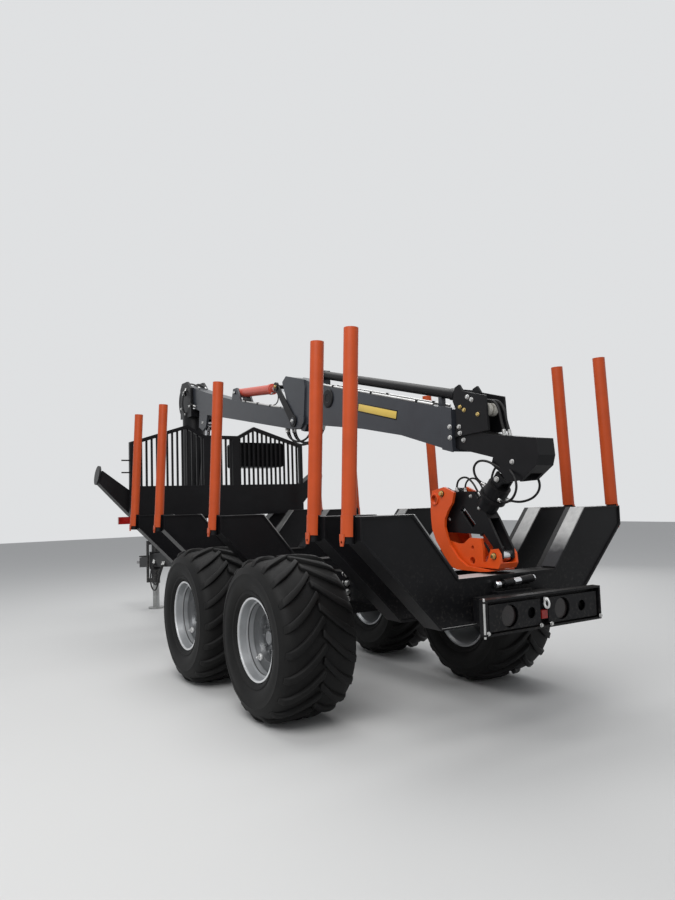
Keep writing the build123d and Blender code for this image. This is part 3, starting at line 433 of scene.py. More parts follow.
FINISH = {
    "black_paint": paint("black paint darkened as painted shade", **BLACK_WITH_PAINTED_SHADE),
    "dark_grey_paint": paint("dark grey paint", (0.024, 0.027, 0.034), (0.031, 0.035, 0.043), 0.36, 0.10, 0.1,
                             0.55, (0.32, 0.32, 0.33), coat=0.1, gleam=0.36),
    "orange_paint": paint("orange paint", (0.76, 0.092, 0.010), (0.68, 0.080, 0.008), 0.42, 0.05, 0.15, 0.5,
                          (0.17, 0.085, 0.06), coat=0.08, gleam=0.4),
    # the stakes take the orange paint set darker: painted shade
    "stake_orange_shaded": paint("stake orange with painted shade", (0.52, 0.072, 0.012), (0.44, 0.060, 0.010), 0.45, 0.05, 0.15, 0.6,
                          (0.16, 0.08, 0.06), coat=0.05, gleam=0.32),
    "red_paint": paint("red paint", (0.56, 0.075, 0.040), (0.50, 0.062, 0.035), 0.3, 0.05, 0.0, 0.5,
                       (0.3, 0.12, 0.08), coat=0.2),
    "nylon": paint("nylon", (0.62, 0.60, 0.54), (0.52, 0.50, 0.45), 0.5, 0.1, 0.0, 0.2, (0.4, 0.38, 0.34)),
    "rubber": rubber("tyre rubber", (0.0045, 0.0045, 0.0047), (0.015, 0.0145, 0.0135), 0.20, 0.62, 240.0),
    "bare_steel": bare_metal("bare steel", (0.36, 0.36, 0.37), (0.22, 0.215, 0.21), 0.42, (1, 1, 1), 0.4),
    "chrome": bare_metal("hard chrome", (0.74, 0.75, 0.77), (0.66, 0.67, 0.69), 0.2, (0.1, 1, 1)),
    "red_lamp": lamp_glass("red lens", (0.36, 0.012, 0.010)),
    "bright_zinc": bare_metal("bright zinc", (0.66, 0.66, 0.65), (0.48, 0.48, 0.47), 0.34, (1, 1, 1)),
    "white_metal": bare_metal("white metal", (0.80, 0.80, 0.79), (0.66, 0.66, 0.65), 0.4, (1, 1, 1),
                              metallic=0.35),
    "yellow_zinc": bare_metal("yellow zinc", (0.66, 0.50, 0.20), (0.50, 0.38, 0.16), 0.34, (1, 1, 1)),
    "hose": rubber("hose rubber", (0.011, 0.011, 0.012), (0.040, 0.037, 0.034), 0.2, 0.42, 420.0),
    "yellow_label": paint("yellow label", (0.70, 0.50, 0.10), (0.62, 0.43, 0.085), 0.42, 0.05, 0.0, 0.3,
                          (0.30, 0.24, 0.12)),
    "jack_steel": two_tone_steel("jack steel", 0.37, 0.40),
    "wheel_silver_painted_light": wheel_silver_painted_light("wheel silver with painted shade and highlight"),
    "wear_plate": rubbed_plate("wear plate"),
    "bed_paint": scuffed_bed("rear bunk paint"),
    "lamp_row": lamp_row("rear lamp glass"),
}


def dress_frame():
    """Every carried-over node takes a finish of its own, or else that of its slot."""
    own = {"parking_jack": "jack_steel", "rear_lamps": "lamp_row", "bunk_wear_plates": "wear_plate",
           "bunk_rear": "bed_paint", "stakes_left": "stake_orange_shaded", "stakes_right": "stake_orange_shaded",
           "rim_left_rear": "wheel_silver_painted_light", "rim_left_front": "wheel_silver_painted_light",
           "rim_right_rear": "wheel_silver_painted_light", "rim_right_front": "wheel_silver_painted_light"}
    for part in frame["record"]["subparts"]:
        finish = own.get(part["node"], part["material_slot"])
        frame["nodes"][part["node"]].material_slots[0].material = FINISH[finish]


# ways to make a piece

def in_edit(obj):
    bpy.context.view_layer.objects.active = obj
    bpy.ops.object.mode_set(mode="EDIT")


def out_of_edit():
    bpy.ops.object.mode_set(mode="OBJECT")


def settle(obj):
    """The object's place goes into its mesh, so that the object sits at the origin."""
    select_only(obj)
    bpy.ops.object.transform_apply(location=True, rotation=True, scale=True)


def outward(obj):
    in_edit(obj)
    bpy.ops.mesh.select_all(action="SELECT")
    bpy.ops.mesh.remove_doubles(threshold=0.00002)
    bpy.ops.mesh.normals_make_consistent(inside=False)
    out_of_edit()


def smooth(obj, angle=35):
    select_only(obj)
    bpy.ops.object.shade_smooth_by_angle(angle=math.radians(angle))


def bevelled(obj, width, segments=2, angle=35):
    select_only(obj)
    step = obj.modifiers.new("rounding", "BEVEL")
    step.width = width
    step.segments = segments
    step.limit_method = "ANGLE"
    step.angle_limit = math.radians(angle)
    bpy.ops.object.modifier_apply(modifier=step.name)


def dressed(obj, body, material, slot, *nodes):
    """Give a piece its material and body; slot, the record's name or None where it has none like it, is not
    used.
    """
    obj.data.materials.clear()
    obj.data.materials.append(material)
    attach(obj, body)
    if nodes:
        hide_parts(*nodes)
    return obj


def turned(name, profile, sides, closed, ends="NOTHING"):
    """Surface of revolution about the Y axis through the origin, from (radius, y) points in order."""
    nothing_selected()
    radius, y = profile[0]
    bpy.ops.mesh.primitive_circle_add(vertices=sides, radius=radius, fill_type=ends, location=(0, y, 0),
                                      rotation=(math.radians(90), 0, 0))
    obj = bpy.context.object
    obj.name = name
    settle(obj)
    in_edit(obj)
    bpy.ops.mesh.select_mode(type="VERT")
    bpy.ops.mesh.select_all(action="SELECT")
    points = list(profile[1:]) + ([profile[0]] if closed else [])
    for next_radius, next_y in points:
        bpy.ops.mesh.extrude_region_move(TRANSFORM_OT_translate={"value": (0, next_y - y, 0)})
        share = next_radius / radius
        bpy.ops.transform.resize(value=(share, 1, share), center_override=(0, next_y, 0))
        radius, y = next_radius, next_y
    out_of_edit()
    outward(obj)
    return obj


def capped(name, profile, sides):
    """Turned piece with a flat face at each end."""
    return turned(name, profile, sides, False, "NGON")


def copied(obj, name, place):
    """The same mesh set by a matrix; a mirrored one is turned right side out."""
    twin = bpy.data.objects.new(name, obj.data.copy())
    twin.data.transform(place)
    if place.determinant() < 0:
        twin.data.flip_normals()
    bpy.context.scene.collection.objects.link(twin)
    return twin


def along(start, run):
    """Matrix that takes what was made along +Y to a point and a direction."""
    return Matrix.Translation(start) @ Vector(run).to_track_quat("Y", "Z").to_matrix().to_4x4()


def rod(start, end, radius, sides=20):
    """Round bar with softened ends."""
    length = (end - start).length
    soft = min(radius * 0.3, 0.004)
    profile = ((radius - soft, 0), (radius, soft), (radius, length - soft), (radius - soft, length))
    bar = capped("rod", profile, sides)
    smooth(bar)
    bar.data.transform(along(start, end - start))
    return bar


def slab(low, high, rounding=0.003):
    """Block between two corners, with rounded edges."""
    nothing_selected()
    bpy.ops.mesh.primitive_cube_add(size=1, location=(low + high) / 2, scale=high - low)
    block = bpy.context.object
    settle(block)
    bevelled(block, rounding)
    smooth(block)
    return block


def joined(pieces, name):
    nothing_selected()
    for obj in pieces:
        obj.select_set(True)
    bpy.context.view_layer.objects.active = pieces[0]
    bpy.ops.object.join()
    whole = bpy.context.object
    whole.name = name
    return whole


# tyres

def lug_trail(y):
    """How far round the tyre the lug has trailed at a distance y from the middle plane."""
    return 1.2 * y - 1.47 * y * y


def lug_block():
    """One straight lug on the left half, along Y, with its top at the tyre's radius."""
    inner_y = -0.012
    first_slice = 0.01
    sunk = 0.045
    top_taper = 0.92
    foot_spread = 1.3
    # length of the step, the block's share of its full width there, and how far its top drops
    steps = ((0.05, 1.0, 0), (0.055, 1.02, 0), (0.055, 1.04, 0.002), (0.055, 1.04, 0.008),
             (0.040, 0.98, 0.024), (0.022, 0.9, 0.056))
    lengths, widths, drops = zip(*steps)
    foot_r = TYRE_R - LUG_H - sunk
    nothing_selected()
    bpy.ops.mesh.primitive_cube_add(size=1, location=(0, inner_y + first_slice / 2, (TYRE_R + foot_r) / 2),
                                    scale=(LUG_W, first_slice, TYRE_R - foot_r))
    lug = bpy.context.object
    settle(lug)
    in_edit(lug)
    bpy.ops.mesh.select_mode(type="FACE")
    bpy.ops.mesh.select_all(action="DESELECT")
    out_of_edit()
    for face in lug.data.polygons:
        face.select = face.normal.y > 0.9
    in_edit(lug)
    for length in lengths:
        bpy.ops.mesh.extrude_region_move(TRANSFORM_OT_translate={"value": (0, length, 0)})
    out_of_edit()
    y = inner_y + first_slice
    stations = [inner_y, y]
    for length in lengths:
        y += length
        stations.append(y)
    widths = (0.92, 1.0, *widths)
    drops = (0.004, 0, *drops)
    for corner in lug.data.vertices:
        station = min(range(len(stations)), key=lambda i: abs(stations[i] - corner.co.y))
        corner.co.x *= widths[station]
        if corner.co.z > TYRE_R - 0.01:
            corner.co.z -= drops[station]
            corner.co.x *= top_taper
        else:
            corner.co.x *= foot_spread
    bevelled(lug, 0.006, 2, 30)
    return lug


def wrap_lug(lug):
    """The straight lug laid round the tyre: it trails towards the shoulder and follows the curve."""
    for corner in lug.data.vertices:
        turn = -(corner.co.x + lug_trail(max(corner.co.y, 0))) / TYRE_R
        radius = corner.co.z
        corner.co.x = radius * math.sin(turn)
        corner.co.z = radius * math.cos(turn)


def left_tyre():
    """Carcass with its lugs, its middle plane at y = 0 and its outer side to +Y."""
    # radius and distance from the middle plane, from the bead to the tread
    half = (
        (0.287, 0.226), (0.299, 0.2405), (0.306, 0.255), (0.318, 0.262), (0.326, 0.2745), (0.338, 0.2775),
        (0.346, 0.273), (0.362, 0.284), (0.395, 0.296), (0.43, 0.2975), (0.462, 0.2945), (0.468, 0.297),
        (0.474, 0.2935), (0.505, 0.284), (0.530, 0.268), (0.546, 0.243), (0.5535, 0.205), (0.556, 0.12),
    )
    profile = list(half) + [(TYRE_R - LUG_H + 0.001, 0)] + [(r, -y) for r, y in reversed(half)]
    carcass = turned("tyre", profile, 120, True)
    lug = lug_block()
    wrap_lug(lug)
    lugs = []
    step = 2 * math.pi / LUGS_PER_SIDE
    for i in range(LUGS_PER_SIDE):
        lugs.append(copied(lug, "lug", Matrix.Rotation(i * step, 4, "Y")))
        flipped = Matrix.Rotation((i + 0.5) * step, 4, "Y") @ Matrix.Scale(-1, 4, Y_AXIS)
        lugs.append(copied(lug, "lug", flipped))
    bpy.data.objects.remove(lug)
    tyre = joined([carcass] + lugs, "tyre")
    smooth(tyre, 38)
    return tyre


def wheel_places(kind):
    """Side and end of each wheel, and the matrix that sets a left wheel's tyre or rim there."""
    for side, mirror in (("left", 1), ("right", -1)):
        for end in ("rear", "front"):
            low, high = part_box(f"{kind}_{side}_{end}")
            middle = Matrix.Translation(((low.x + high.x) / 2, mirror * WHEEL_Y, WHEEL_Z))
            yield side, end, middle @ Matrix.Scale(mirror, 4, Y_AXIS)


def make_tyres():
    tyre = left_tyre()
    for side, end, place in wheel_places("tyre"):
        node = f"tyre_{side}_{end}"
        twin = copied(tyre, "worn_" + node, place)
        dressed(twin, f"wheel_{side}_{end}", FINISH["rubber"], "rubber", node)
    bpy.data.objects.remove(tyre)


# nuts, bolts and fittings

def hex_bolt():
    """Bolt head of thread size 1 on its washer, along +Y from its seat."""
    washer = capped("washer", ((1.0, -0.15), (1.08, -0.1), (1.08, 0.13), (1.0, 0.18)), 20)
    head = capped("head", ((0.82, 0.15), (0.88, 0.22), (0.88, 0.70), (0.76, 0.80)), 6)
    bolt = joined([washer, head], "bolt")
    smooth(bolt, 30)
    return bolt


def nut_on_stud():
    """Wheel nut of thread size 1 with the end of its stud."""
    seat = capped("seat", ((1.02, -0.15), (1.02, 0.05), (0.86, 0.30)), 20)
    nut = capped("nut", ((0.80, 0.2), (0.86, 0.28), (0.86, 0.95), (0.70, 1.06)), 6)
    stud = capped("stud", ((0.50, 0.9), (0.50, 1.30), (0.42, 1.38)), 12)
    whole = joined([seat, nut, stud], "nut")
    smooth(whole, 30)
    return whole


LEFT = (0, 1, 0)
RIGHT = (0, -1, 0)
BACK = (-1, 0, 0)
AHEAD = (1, 0, 0)
UP = (0, 0, 1)
FLANGE_BOLTS = [(y, z) for y in (-166, 166) for z in (938, 863, 790, 732)]
BASE_BOLTS = [(5650 + dx, y) for dx in (-290, -150, 150, 290) for y in (-200, 200)]
TUBE_END_BOLTS = [(5650 + tube + dx, z) for tube in (-170, 170) for z in (1147, 1063) for dx in (-42, 42)]
EXTENSION_BOLTS = [(236, 2041), (229, 1996), (100, 2212), (140, 2236)]
# body, finish, thread size, the way the head faces, and places in millimetres
BOLTS = (
    ("chassis", "bright_zinc", 0.024, BACK, [(1637, y, z) for y, z in FLANGE_BOLTS]),
    ("chassis", "bright_zinc", 0.024, AHEAD, [(1673, y, z) for y, z in FLANGE_BOLTS]),
    ("chassis", "bright_zinc", 0.020, UP, [(x, y, 1010) for x, y in BASE_BOLTS]),
    ("chassis", "bright_zinc", 0.016, LEFT, [(x, 445, z) for x, z in TUBE_END_BOLTS]),
    ("chassis", "bright_zinc", 0.016, RIGHT, [(x, -445, z) for x, z in TUBE_END_BOLTS]),
    ("chassis", "bright_zinc", 0.018, AHEAD, [(7985, y, z) for y in (-62, 62) for z in (622, 708)]),
    ("chassis", "bright_zinc", 0.012, BACK, [(-390, y, 765) for y in (-490, -35, 55, 490)]),
    ("column", "bright_zinc", 0.016, LEFT, [(5634, 137, 3036), (5666, 137, 3036), (5650, 137, 3066)]),
    ("column", "bright_zinc", 0.016, RIGHT, [(5634, -137, 3036), (5666, -137, 3036), (5650, -137, 3066)]),
    ("column", "bright_zinc", 0.018, LEFT, [(5400, 100, 1480), (5790, 125, 2860), (5480, 125, 2860)]),
    ("boom", "bright_zinc", 0.016, LEFT, [(4090, 90, 2840), (5120, 80, 2600)]),
    ("boom", "bright_zinc", 0.016, RIGHT, [(4090, -90, 2840), (5120, -80, 2600)]),
    ("jib", "bright_zinc", 0.017, LEFT, [(318, 107, 2048), (318, 107, 1972), (2610, 130, 2345)]),
    ("jib", "bright_zinc", 0.017, RIGHT, [(318, -107, 2048), (318, -107, 1972), (2610, -130, 2345)]),
    ("jib", "yellow_zinc", 0.016, LEFT, [(2952, 132, 2735)]),
    ("extension", "bright_zinc", 0.016, LEFT, [(x, 93, z) for x, z in EXTENSION_BOLTS]),
    ("extension", "bright_zinc", 0.016, RIGHT, [(x, -93, z) for x, z in EXTENSION_BOLTS]),
    ("extension", "bright_zinc", 0.016, LEFT, [(216, 75, 1948), (-230, 75, 1770)]),
    ("extension", "yellow_zinc", 0.014, LEFT, [(46, 93, 2106), (219, 93, 2177), (179, 93, 2151)]),
    ("rotator_head", "bright_zinc", 0.018, LEFT, [(-70, 60, 1665)]),
    ("rotator_head", "bright_zinc", 0.018, RIGHT, [(-70, -60, 1665)]),
    ("grapple", "yellow_zinc", 0.019, LEFT, [(423, 121, 1584), (-35, 86, 1165)]),
    ("grapple", "yellow_zinc", 0.019, RIGHT, [(423, -121, 1584), (-35, -86, 1165)]),
    ("grapple", "bright_zinc", 0.012, LEFT, [(112, 56, 1478), (190, 56, 1560), (420, 56, 1400)]),
)


def make_bolts():
    master = hex_bolt()
    for number, (body, finish, size, facing, places) in enumerate(BOLTS, 1):
        scale = Matrix.Scale(size, 4)
        bolts = [copied(master, "bolt", along(at(*place), facing) @ scale) for place in places]
        dressed(joined(bolts, f"bolts_{number}_{body}"), body, FINISH[finish], "galvanised")
    bpy.data.objects.remove(master)


def make_rim_fittings():
    """Nuts in the disc's recess with the hub's cap, and the valve in its bright grommet."""
    count = 10
    thread = 0.019
    bolt_circle = 0.112
    disc_y = 0.104
    valve_at = (0.138, 0, -0.158)
    nut = nut_on_stud()
    pieces = []
    for i in range(count):
        turn = 2 * math.pi * (i + 0.5) / count
        place = Vector((bolt_circle * math.sin(turn), disc_y, bolt_circle * math.cos(turn)))
        pieces.append(copied(nut, "nut", Matrix.Translation(place) @ Matrix.Scale(thread, 4)))
    bpy.data.objects.remove(nut)
    cap = capped("cap", ((0.050, 0.118), (0.052, 0.134), (0.048, 0.141), (0.030, 0.145), (0.028, 0.143)), 32)
    ring = turned("ring", ((0.013, 0.136), (0.025, 0.136), (0.025, 0.148), (0.021, 0.153), (0.014, 0.151)),
                  24, True)
    stem = capped("stem", ((0.005, 0.132), (0.005, 0.160), (0.007, 0.161), (0.007, 0.176), (0.005, 0.178)),
                  12)
    for piece in (cap, ring, stem):
        smooth(piece, 30)
    nuts = joined(pieces + [cap], "rim_nuts")
    valve = joined([ring, stem], "rim_valve")
    valve.data.transform(Matrix.Translation(valve_at))
    for side, end, place in wheel_places("rim"):
        body = f"wheel_{side}_{end}"
        set_of_nuts = copied(nuts, f"nuts_{side}_{end}", place)
        # the nuts and the hub's cap lie in the disc's band and take its painted shade
        dressed(set_of_nuts, body, FINISH["wheel_silver_painted_light"], "silver_paint")
        own_valve = copied(valve, f"valve_{side}_{end}", place)
        dressed(own_valve, body, FINISH["white_metal"], "galvanised")
    for model in (nuts, valve):
        bpy.data.objects.remove(model)


# hoses

def hose_line(name, points, diameter):
    """Curve of one NURBS spline through the pull of points in millimetres."""
    curve = bpy.data.curves.new(name, "CURVE")
    curve.dimensions = "3D"
    curve.bevel_depth = diameter / 2
    curve.bevel_resolution = 3
    curve.resolution_u = 8
    curve.use_fill_caps = True
    spline = curve.splines.new("NURBS")
    spline.points.add(len(points) - 1)
    for knot, point in zip(spline.points, points):
        knot.co = (*at(*point), 1)
    spline.order_u = 3
    spline.use_endpoint_u = True
    obj = bpy.data.objects.new(name, curve)
    bpy.context.scene.collection.objects.link(obj)
    return obj


def route_of(hose):
    """Points along the curve's own line."""
    thickness = hose.data.bevel_depth
    hose.data.bevel_depth = 0
    line = bpy.data.meshes.new_from_object(hose)
    hose.data.bevel_depth = thickness
    return [tuple(point.co) for point in line.vertices]


def crimped_end():
    """Hose end of hose diameter 1: hexagon at its port, then the grooved sleeve pressed on the hose."""
    hexagon = capped("hexagon", ((0.70, -0.1), (0.86, 0.05), (0.86, 0.75), (0.72, 0.9)), 6)
    rings = ((0.55, 0.8), (0.62, 0.95), (0.70, 1.0), (0.70, 1.25), (0.64, 1.3), (0.64, 1.4), (0.70, 1.45),
             (0.70, 1.7), (0.64, 1.75), (0.64, 1.85), (0.70, 1.9), (0.70, 2.2), (0.60, 2.3))
    sleeve = capped("sleeve", rings, 18)
    end = joined([hexagon, sleeve], "crimped_end")
    smooth(end, 35)
    return end


# name, body, body at its far end, diameter and length in metres, points in millimetres
HOSES = (
    ("head_hose", "column", "boom", 0.020, 1.20, (
        (5830, 50, 2772), (5920, 51, 2776), (6005, 56, 2812), (6038, 62, 2910), (6026, 66, 3030),
        (5962, 68, 3128), (5860, 66, 3178), (5740, 60, 3192), (5600, 54, 3182), (5470, 48, 3148),
        (5370, 48, 3108), (5300, 48, 3073))),
    ("head_hose_right", "column", "boom", 0.020, 1.17, (
        (5830, -50, 2772), (5915, -52, 2776), (5995, -58, 2814), (6022, -64, 2910), (6010, -68, 3020),
        (5950, -68, 3118), (5855, -66, 3172), (5740, -60, 3190), (5600, -52, 3184), (5470, -48, 3150),
        (5370, -48, 3108), (5300, -48, 3073))),
    ("column_hose", "column", None, 0.018, 0.39, (
        (5590, 125, 3112), (5588, 150, 3060), (5590, 172, 2990), (5598, 178, 2910), (5606, 168, 2840),
        (5610, 146, 2780), (5612, 125, 2742))),
    ("root_hose", "boom", None, 0.018, 0.24, (
        (5505, 85, 2985), (5495, 104, 2960), (5470, 124, 2925), (5430, 130, 2890), (5385, 116, 2860),
        (5345, 85, 2838))),
    ("lift_hose", "boom", "jib_barrel", 0.012, 0.46, (
        (3260, 30, 2579), (3200, 34, 2578), (3120, 40, 2582), (3064, 44, 2612), (3060, 44, 2676),
        (3110, 40, 2712), (3180, 34, 2718), (3250, 26, 2714))),
    ("knuckle_hose_1", "boom", "jib", 0.020, 0.66, (
        (2870, 54, 2303), (2862, 54, 2262), (2820, 55, 2205), (2720, 56, 2160), (2590, 56, 2140),
        (2470, 56, 2156), (2390, 55, 2205), (2345, 54, 2250), (2338, 54, 2284))),
    ("knuckle_hose_2", "boom", "jib", 0.020, 0.74, (
        (2895, 18, 2308), (2888, 18, 2262), (2840, 18, 2186), (2730, 17, 2130), (2590, 16, 2108),
        (2460, 17, 2128), (2372, 18, 2186), (2322, 18, 2242), (2314, 18, 2280))),
    ("knuckle_hose_3", "boom", "jib", 0.020, 0.67, (
        (2870, -20, 2303), (2862, -20, 2258), (2818, -21, 2196), (2716, -22, 2150), (2590, -22, 2132),
        (2474, -22, 2146), (2392, -21, 2196), (2346, -20, 2246), (2338, -20, 2284))),
    ("knuckle_hose_4", "boom", "jib", 0.020, 0.73, (
        (2895, -56, 2308), (2888, -56, 2264), (2842, -56, 2192), (2730, -57, 2138), (2590, -58, 2118),
        (2462, -57, 2136), (2374, -56, 2192), (2322, -56, 2244), (2314, -56, 2280))),
    ("tip_hose_left", "extension", None, 0.018, 0.51, (
        (212, 24, 2190), (170, 24, 2198), (90, 24, 2206), (20, 24, 2204), (-46, 24, 2186), (-84, 24, 2130),
        (-98, 24, 2050), (-118, 24, 1990), (-124, 24, 1948))),
    ("tip_hose_right", "extension", None, 0.018, 0.51, (
        (212, -24, 2190), (170, -24, 2198), (90, -24, 2206), (20, -24, 2204), (-46, -24, 2186),
        (-84, -24, 2130), (-98, -24, 2050), (-118, -24, 1990), (-124, -24, 1948))),
    ("rotator_hose_1", "link", "rotator_head", 0.016, 0.47, (
        (-140, 24, 1712), (-130, 52, 1722), (-96, 84, 1752), (-30, 104, 1790), (50, 108, 1794),
        (108, 98, 1752), (116, 76, 1690), (92, 50, 1650), (60, 34, 1630))),
    ("rotator_hose_2", "link", "rotator_head", 0.016, 0.45, (
        (-140, -24, 1712), (-130, -52, 1722), (-96, -82, 1750), (-34, -100, 1786), (44, -104, 1788),
        (104, -94, 1748), (114, -74, 1690), (92, -50, 1650), (60, -34, 1630))),
    ("rotator_hose_3", "link", "rotator_head", 0.016, 0.50, (
        (-172, 24, 1728), (-182, 50, 1724), (-220, 84, 1712), (-276, 106, 1676), (-296, 110, 1604),
        (-250, 100, 1540), (-172, 80, 1512), (-104, 56, 1514), (-52, 34, 1532))),
    ("rotator_hose_4", "link", "rotator_head", 0.016, 0.49, (
        (-172, -24, 1728), (-182, -50, 1724), (-218, -82, 1712), (-272, -102, 1676), (-290, -106, 1604),
        (-246, -98, 1542), (-170, -78, 1514), (-104, -56, 1514), (-52, -34, 1532))),
    ("grapple_hose_left", "grapple", None, 0.014, 0.36, (
        (124, 26, 1558), (150, 28, 1590), (186, 31, 1650), (250, 34, 1698), (330, 34, 1684),
        (360, 32, 1632), (356, 30, 1593))),
    ("grapple_hose_right", "grapple", None, 0.013, 0.34, (
        (124, -26, 1558), (148, -28, 1588), (182, -31, 1644), (240, -34, 1690), (316, -34, 1678),
        (344, -32, 1630), (340, -30, 1593))),
    ("jack_hose_1", "chassis", None, 0.022, 0.88, (
        (6760, 90, 745), (6756, 116, 690), (6764, 140, 610), (6800, 150, 500), (6880, 154, 415),
        (6970, 154, 400), (7060, 152, 440), (7120, 146, 540), (7144, 122, 660), (7146, 90, 745))),
    ("jack_hose_2", "chassis", None, 0.022, 1.12, (
        (6690, 90, 752), (6684, 120, 690), (6690, 156, 590), (6724, 176, 460), (6810, 182, 350),
        (6940, 182, 320), (7070, 178, 380), (7150, 166, 500), (7184, 130, 650), (7190, 90, 752))),
)


def make_hoses():
    master = crimped_end()
    for name, body, far_body, diameter, length, points in HOSES:
        hose = hose_line(name, points, diameter)
        first, second, before_last, last = (at(*points[i]) for i in (0, 1, -2, -1))
        if far_body:
            route = route_of(hose)
            select_only(hose)
            bpy.ops.object.convert(target="MESH")
            hose.data.materials.append(FINISH["hose"])
            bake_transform(hose)
        else:
            dressed(hose, body, FINISH["hose"], "rubber")
        scale = Matrix.Scale(diameter, 4)
        ends = (("near", first, second - first, body), ("far", last, before_last - last, far_body or body))
        for end, place, run, holder in ends:
            fitting = copied(master, f"{name}_{end}_end", along(place, run) @ scale)
            dressed(fitting, holder, FINISH["bright_zinc"], "galvanised")
    bpy.data.objects.remove(master)


# labels and small fittings

def make_jib_trim():
    """Blank yellow label on its dark backing, and the round cover over the jib's hub, on the left side."""
    jib_slope = math.radians(-13.8)
    turn = Matrix.Translation(at(1219, 95, 2272)) @ Matrix.Rotation(jib_slope, 4, "Y")
    backing = slab(Vector((-0.282, -0.001, -0.038)), Vector((0.282, 0.0012, 0.038)), 0.0005)
    backing.name = "jib_label_backing"
    label = slab(Vector((-0.272, 0.0006, -0.029)), Vector((0.272, 0.0024, 0.029)), 0.0005)
    label.name = "jib_label"
    for piece, finish, slot in ((backing, "black_paint", "black_paint"), (label, "yellow_label", None)):
        piece.data.transform(turn)
        dressed(piece, "jib", FINISH[finish], slot)
    outline = ((0.084, -0.002), (0.085, 0.008), (0.078, 0.014), (0.040, 0.016), (0.036, 0.013),
               (0.012, 0.013))
    cover = capped("jib_hub_cover", outline, 48)
    smooth(cover)
    cover.data.transform(Matrix.Translation(at(1970, 95, 2480)))
    dressed(cover, "jib", FINISH["black_paint"], "black_paint")


# steel pipes on the crane: name, body, radius, points in millimetres
PIPES = (
    ("boom_pipe", "boom", 0.009, ((3895, 75, 2717), (3086, 75, 2551), (2950, 75, 2528))),
    ("jib_pipe_left", "jib", 0.010, ((2090, 82, 2625), (520, 82, 2235))),
    ("jib_pipe_right", "jib", 0.010, ((2090, -82, 2625), (520, -82, 2235))),
)


def make_pipes():
    """Bright pipes along the top edges, each held down by clamps at shares of its first run."""
    for name, body, radius, points in PIPES:
        corners = [at(*point) for point in points]
        bars = [rod(start, end, radius) for start, end in zip(corners, corners[1:])]
        dressed(joined(bars, name), body, FINISH["bright_zinc"], "galvanised")
        clamps = []
        for share in (0.12, 0.5, 0.88):
            spot = corners[0].lerp(corners[1], share)
            clamp = slab(Vector((-0.012, -0.013, -0.013)), Vector((0.012, 0.013, 0.013)))
            clamp.data.transform(along(spot, corners[1] - corners[0]))
            clamps.append(clamp)
        dressed(joined(clamps, name + "_clamps"), body, FINISH["black_paint"], "black_paint")


def make_rear_cylinder():
    """Small cylinder that lies along the rear bunk's face on two lugs."""
    start, run = at(-108, 148, 991), Vector((0, -0.332, 0.019))
    place = along(start, run)
    sides = 28
    # outlines of radius and distance along the cylinder, from its left end
    bright = [
        capped("knuckle", ((0.016, 0), (0.023, 0.006), (0.023, 0.034), (0.016, 0.040)), sides),
        capped("collar", ((0.020, 0.153), (0.024, 0.156), (0.024, 0.212), (0.020, 0.215)), sides),
        capped("tip", ((0.020, 0.331), (0.022, 0.334), (0.022, 0.342), (0.012, 0.350)), sides),
    ]
    dark = [
        capped("neck", ((0.015, 0.038), (0.015, 0.073), (0.015, 0.076)), sides),
        capped("barrel", ((0.024, 0.071), (0.027, 0.075), (0.027, 0.150), (0.024, 0.154)), sides),
        capped("sleeve", ((0.023, 0.214), (0.026, 0.218), (0.026, 0.328), (0.022, 0.332)), sides),
    ]
    for piece in bright + dark:
        smooth(piece)
        piece.data.transform(place)
    for y, z in ((58, 996), (-150, 1008)):
        dark.append(slab(at(-112, y - 7, z - 34), at(-84, y + 7, z + 4)))
    dressed(joined(bright, "rear_cylinder_bright"), "chassis", FINISH["chrome"], "chrome")
    dressed(joined(dark, "rear_cylinder_dark"), "chassis", FINISH["black_paint"], "black_paint")


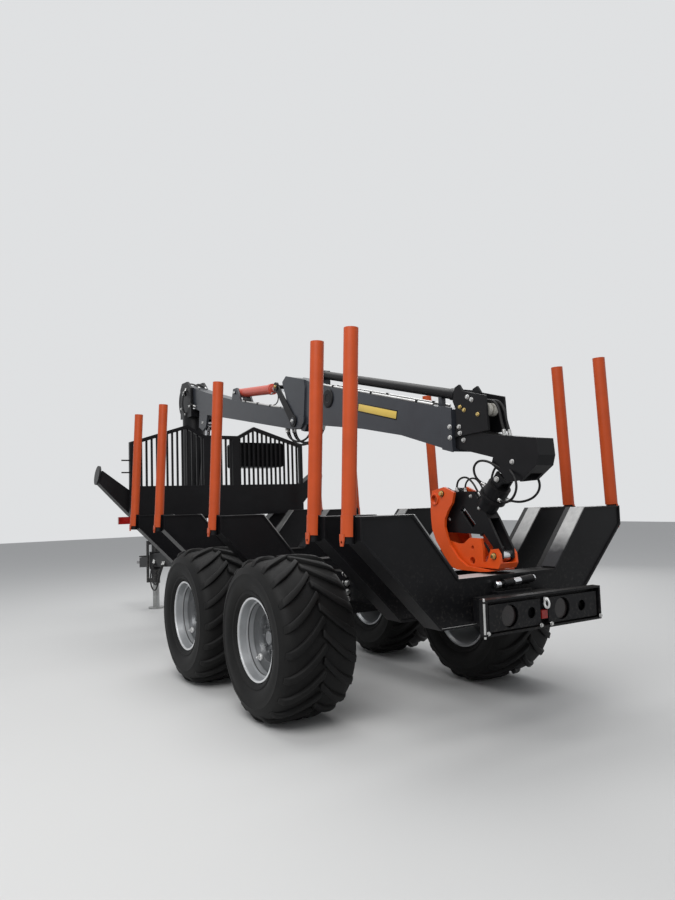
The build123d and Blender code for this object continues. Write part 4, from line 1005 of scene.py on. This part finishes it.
def make_bumper_fittings():
    """Upright rod at the bumper's left edge, and the shackle that hangs over the red lamp."""
    bar = rod(at(-385, 512, 736), at(-385, 512, 968), 0.007)
    bar.name = "bumper_rod"
    dressed(bar, "chassis", FINISH["bright_zinc"], "galvanised")
    lugs = [slab(at(-394, 496, z), at(-374, 522, z + 12)) for z in (750, 938)]
    dressed(joined(lugs, "bumper_rod_lugs"), "chassis", FINISH["black_paint"], "black_paint")
    ring = turned("ring", ((0.015, -0.005), (0.017, -0.006), (0.024, -0.006), (0.026, -0.003), (0.026, 0.003),
                           (0.024, 0.006), (0.017, 0.006), (0.015, 0.005)), 28, True)
    smooth(ring)
    ring.data.transform(Matrix.Translation(at(-400, 10, 892)) @ Matrix.Diagonal((0.9, 1, 1.25, 1)))
    pin = rod(at(-398, -6, 918), at(-398, 26, 918), 0.006)
    eye = slab(at(-406, 4, 908), at(-376, 16, 930))
    dressed(joined([ring, pin, eye], "bumper_shackle"), "chassis", FINISH["white_metal"], "galvanised")


# floor, backdrop and light

def make_stage():
    floor_size = 60
    nothing_selected()
    bpy.ops.mesh.primitive_plane_add(size=floor_size, location=(0, 0, 0))
    floor = bpy.context.object
    floor.name = "floor"
    material, tree, shader = new_material("pale floor")
    shader.inputs["Base Color"].default_value = (0.62, 0.62, 0.61, 1)
    shader.inputs["Roughness"].default_value = 0.9
    floor.data.materials.append(material)

    world = bpy.data.worlds.new("studio")
    bpy.context.scene.world = world
    world.use_nodes = True
    tree = world.node_tree
    background = tree.nodes["Background"]
    path = add_node(tree, "ShaderNodeLightPath")
    seen = math_node(tree, "ADD", path.outputs["Is Camera Ray"], path.outputs["Is Glossy Ray"])
    seen = math_node(tree, "ADD", seen, path.outputs["Is Transmission Ray"], True)
    lighting = (0.42, 0.43, 0.45, 1)
    backdrop = (0.74, 0.75, 0.76, 1)
    tree.links.new(mixed(tree, seen, lighting, backdrop), background.inputs["Color"])
    background.inputs["Strength"].default_value = 1.0

    # name, place, what it points at, size and power of each soft lamp
    lamps = (
        ("key", (-6, 5, 7), (0, 0, 1), 5, 430),
        ("top", (0.5, 0, 8), (0.5, 0, 0), 7, 330),
        ("fill", (4, -7, 4.5), (0, 0, 1), 5, 120),
    )
    for name, place, target, size, power in lamps:
        light = bpy.data.lights.new(name, "AREA")
        light.size = size
        light.energy = power
        lamp = bpy.data.objects.new(name, light)
        lamp.location = place
        lamp.rotation_euler = (Vector(target) - Vector(place)).to_track_quat("-Z", "Y").to_euler()
        bpy.context.scene.collection.objects.link(lamp)


make_camera()
make_hoses()
dress_frame()
make_tyres()
make_rim_fittings()
make_bolts()
make_jib_trim()
make_pipes()
make_rear_cylinder()
make_bumper_fittings()
make_stage()
bpy.context.scene.view_settings.view_transform = "Standard"
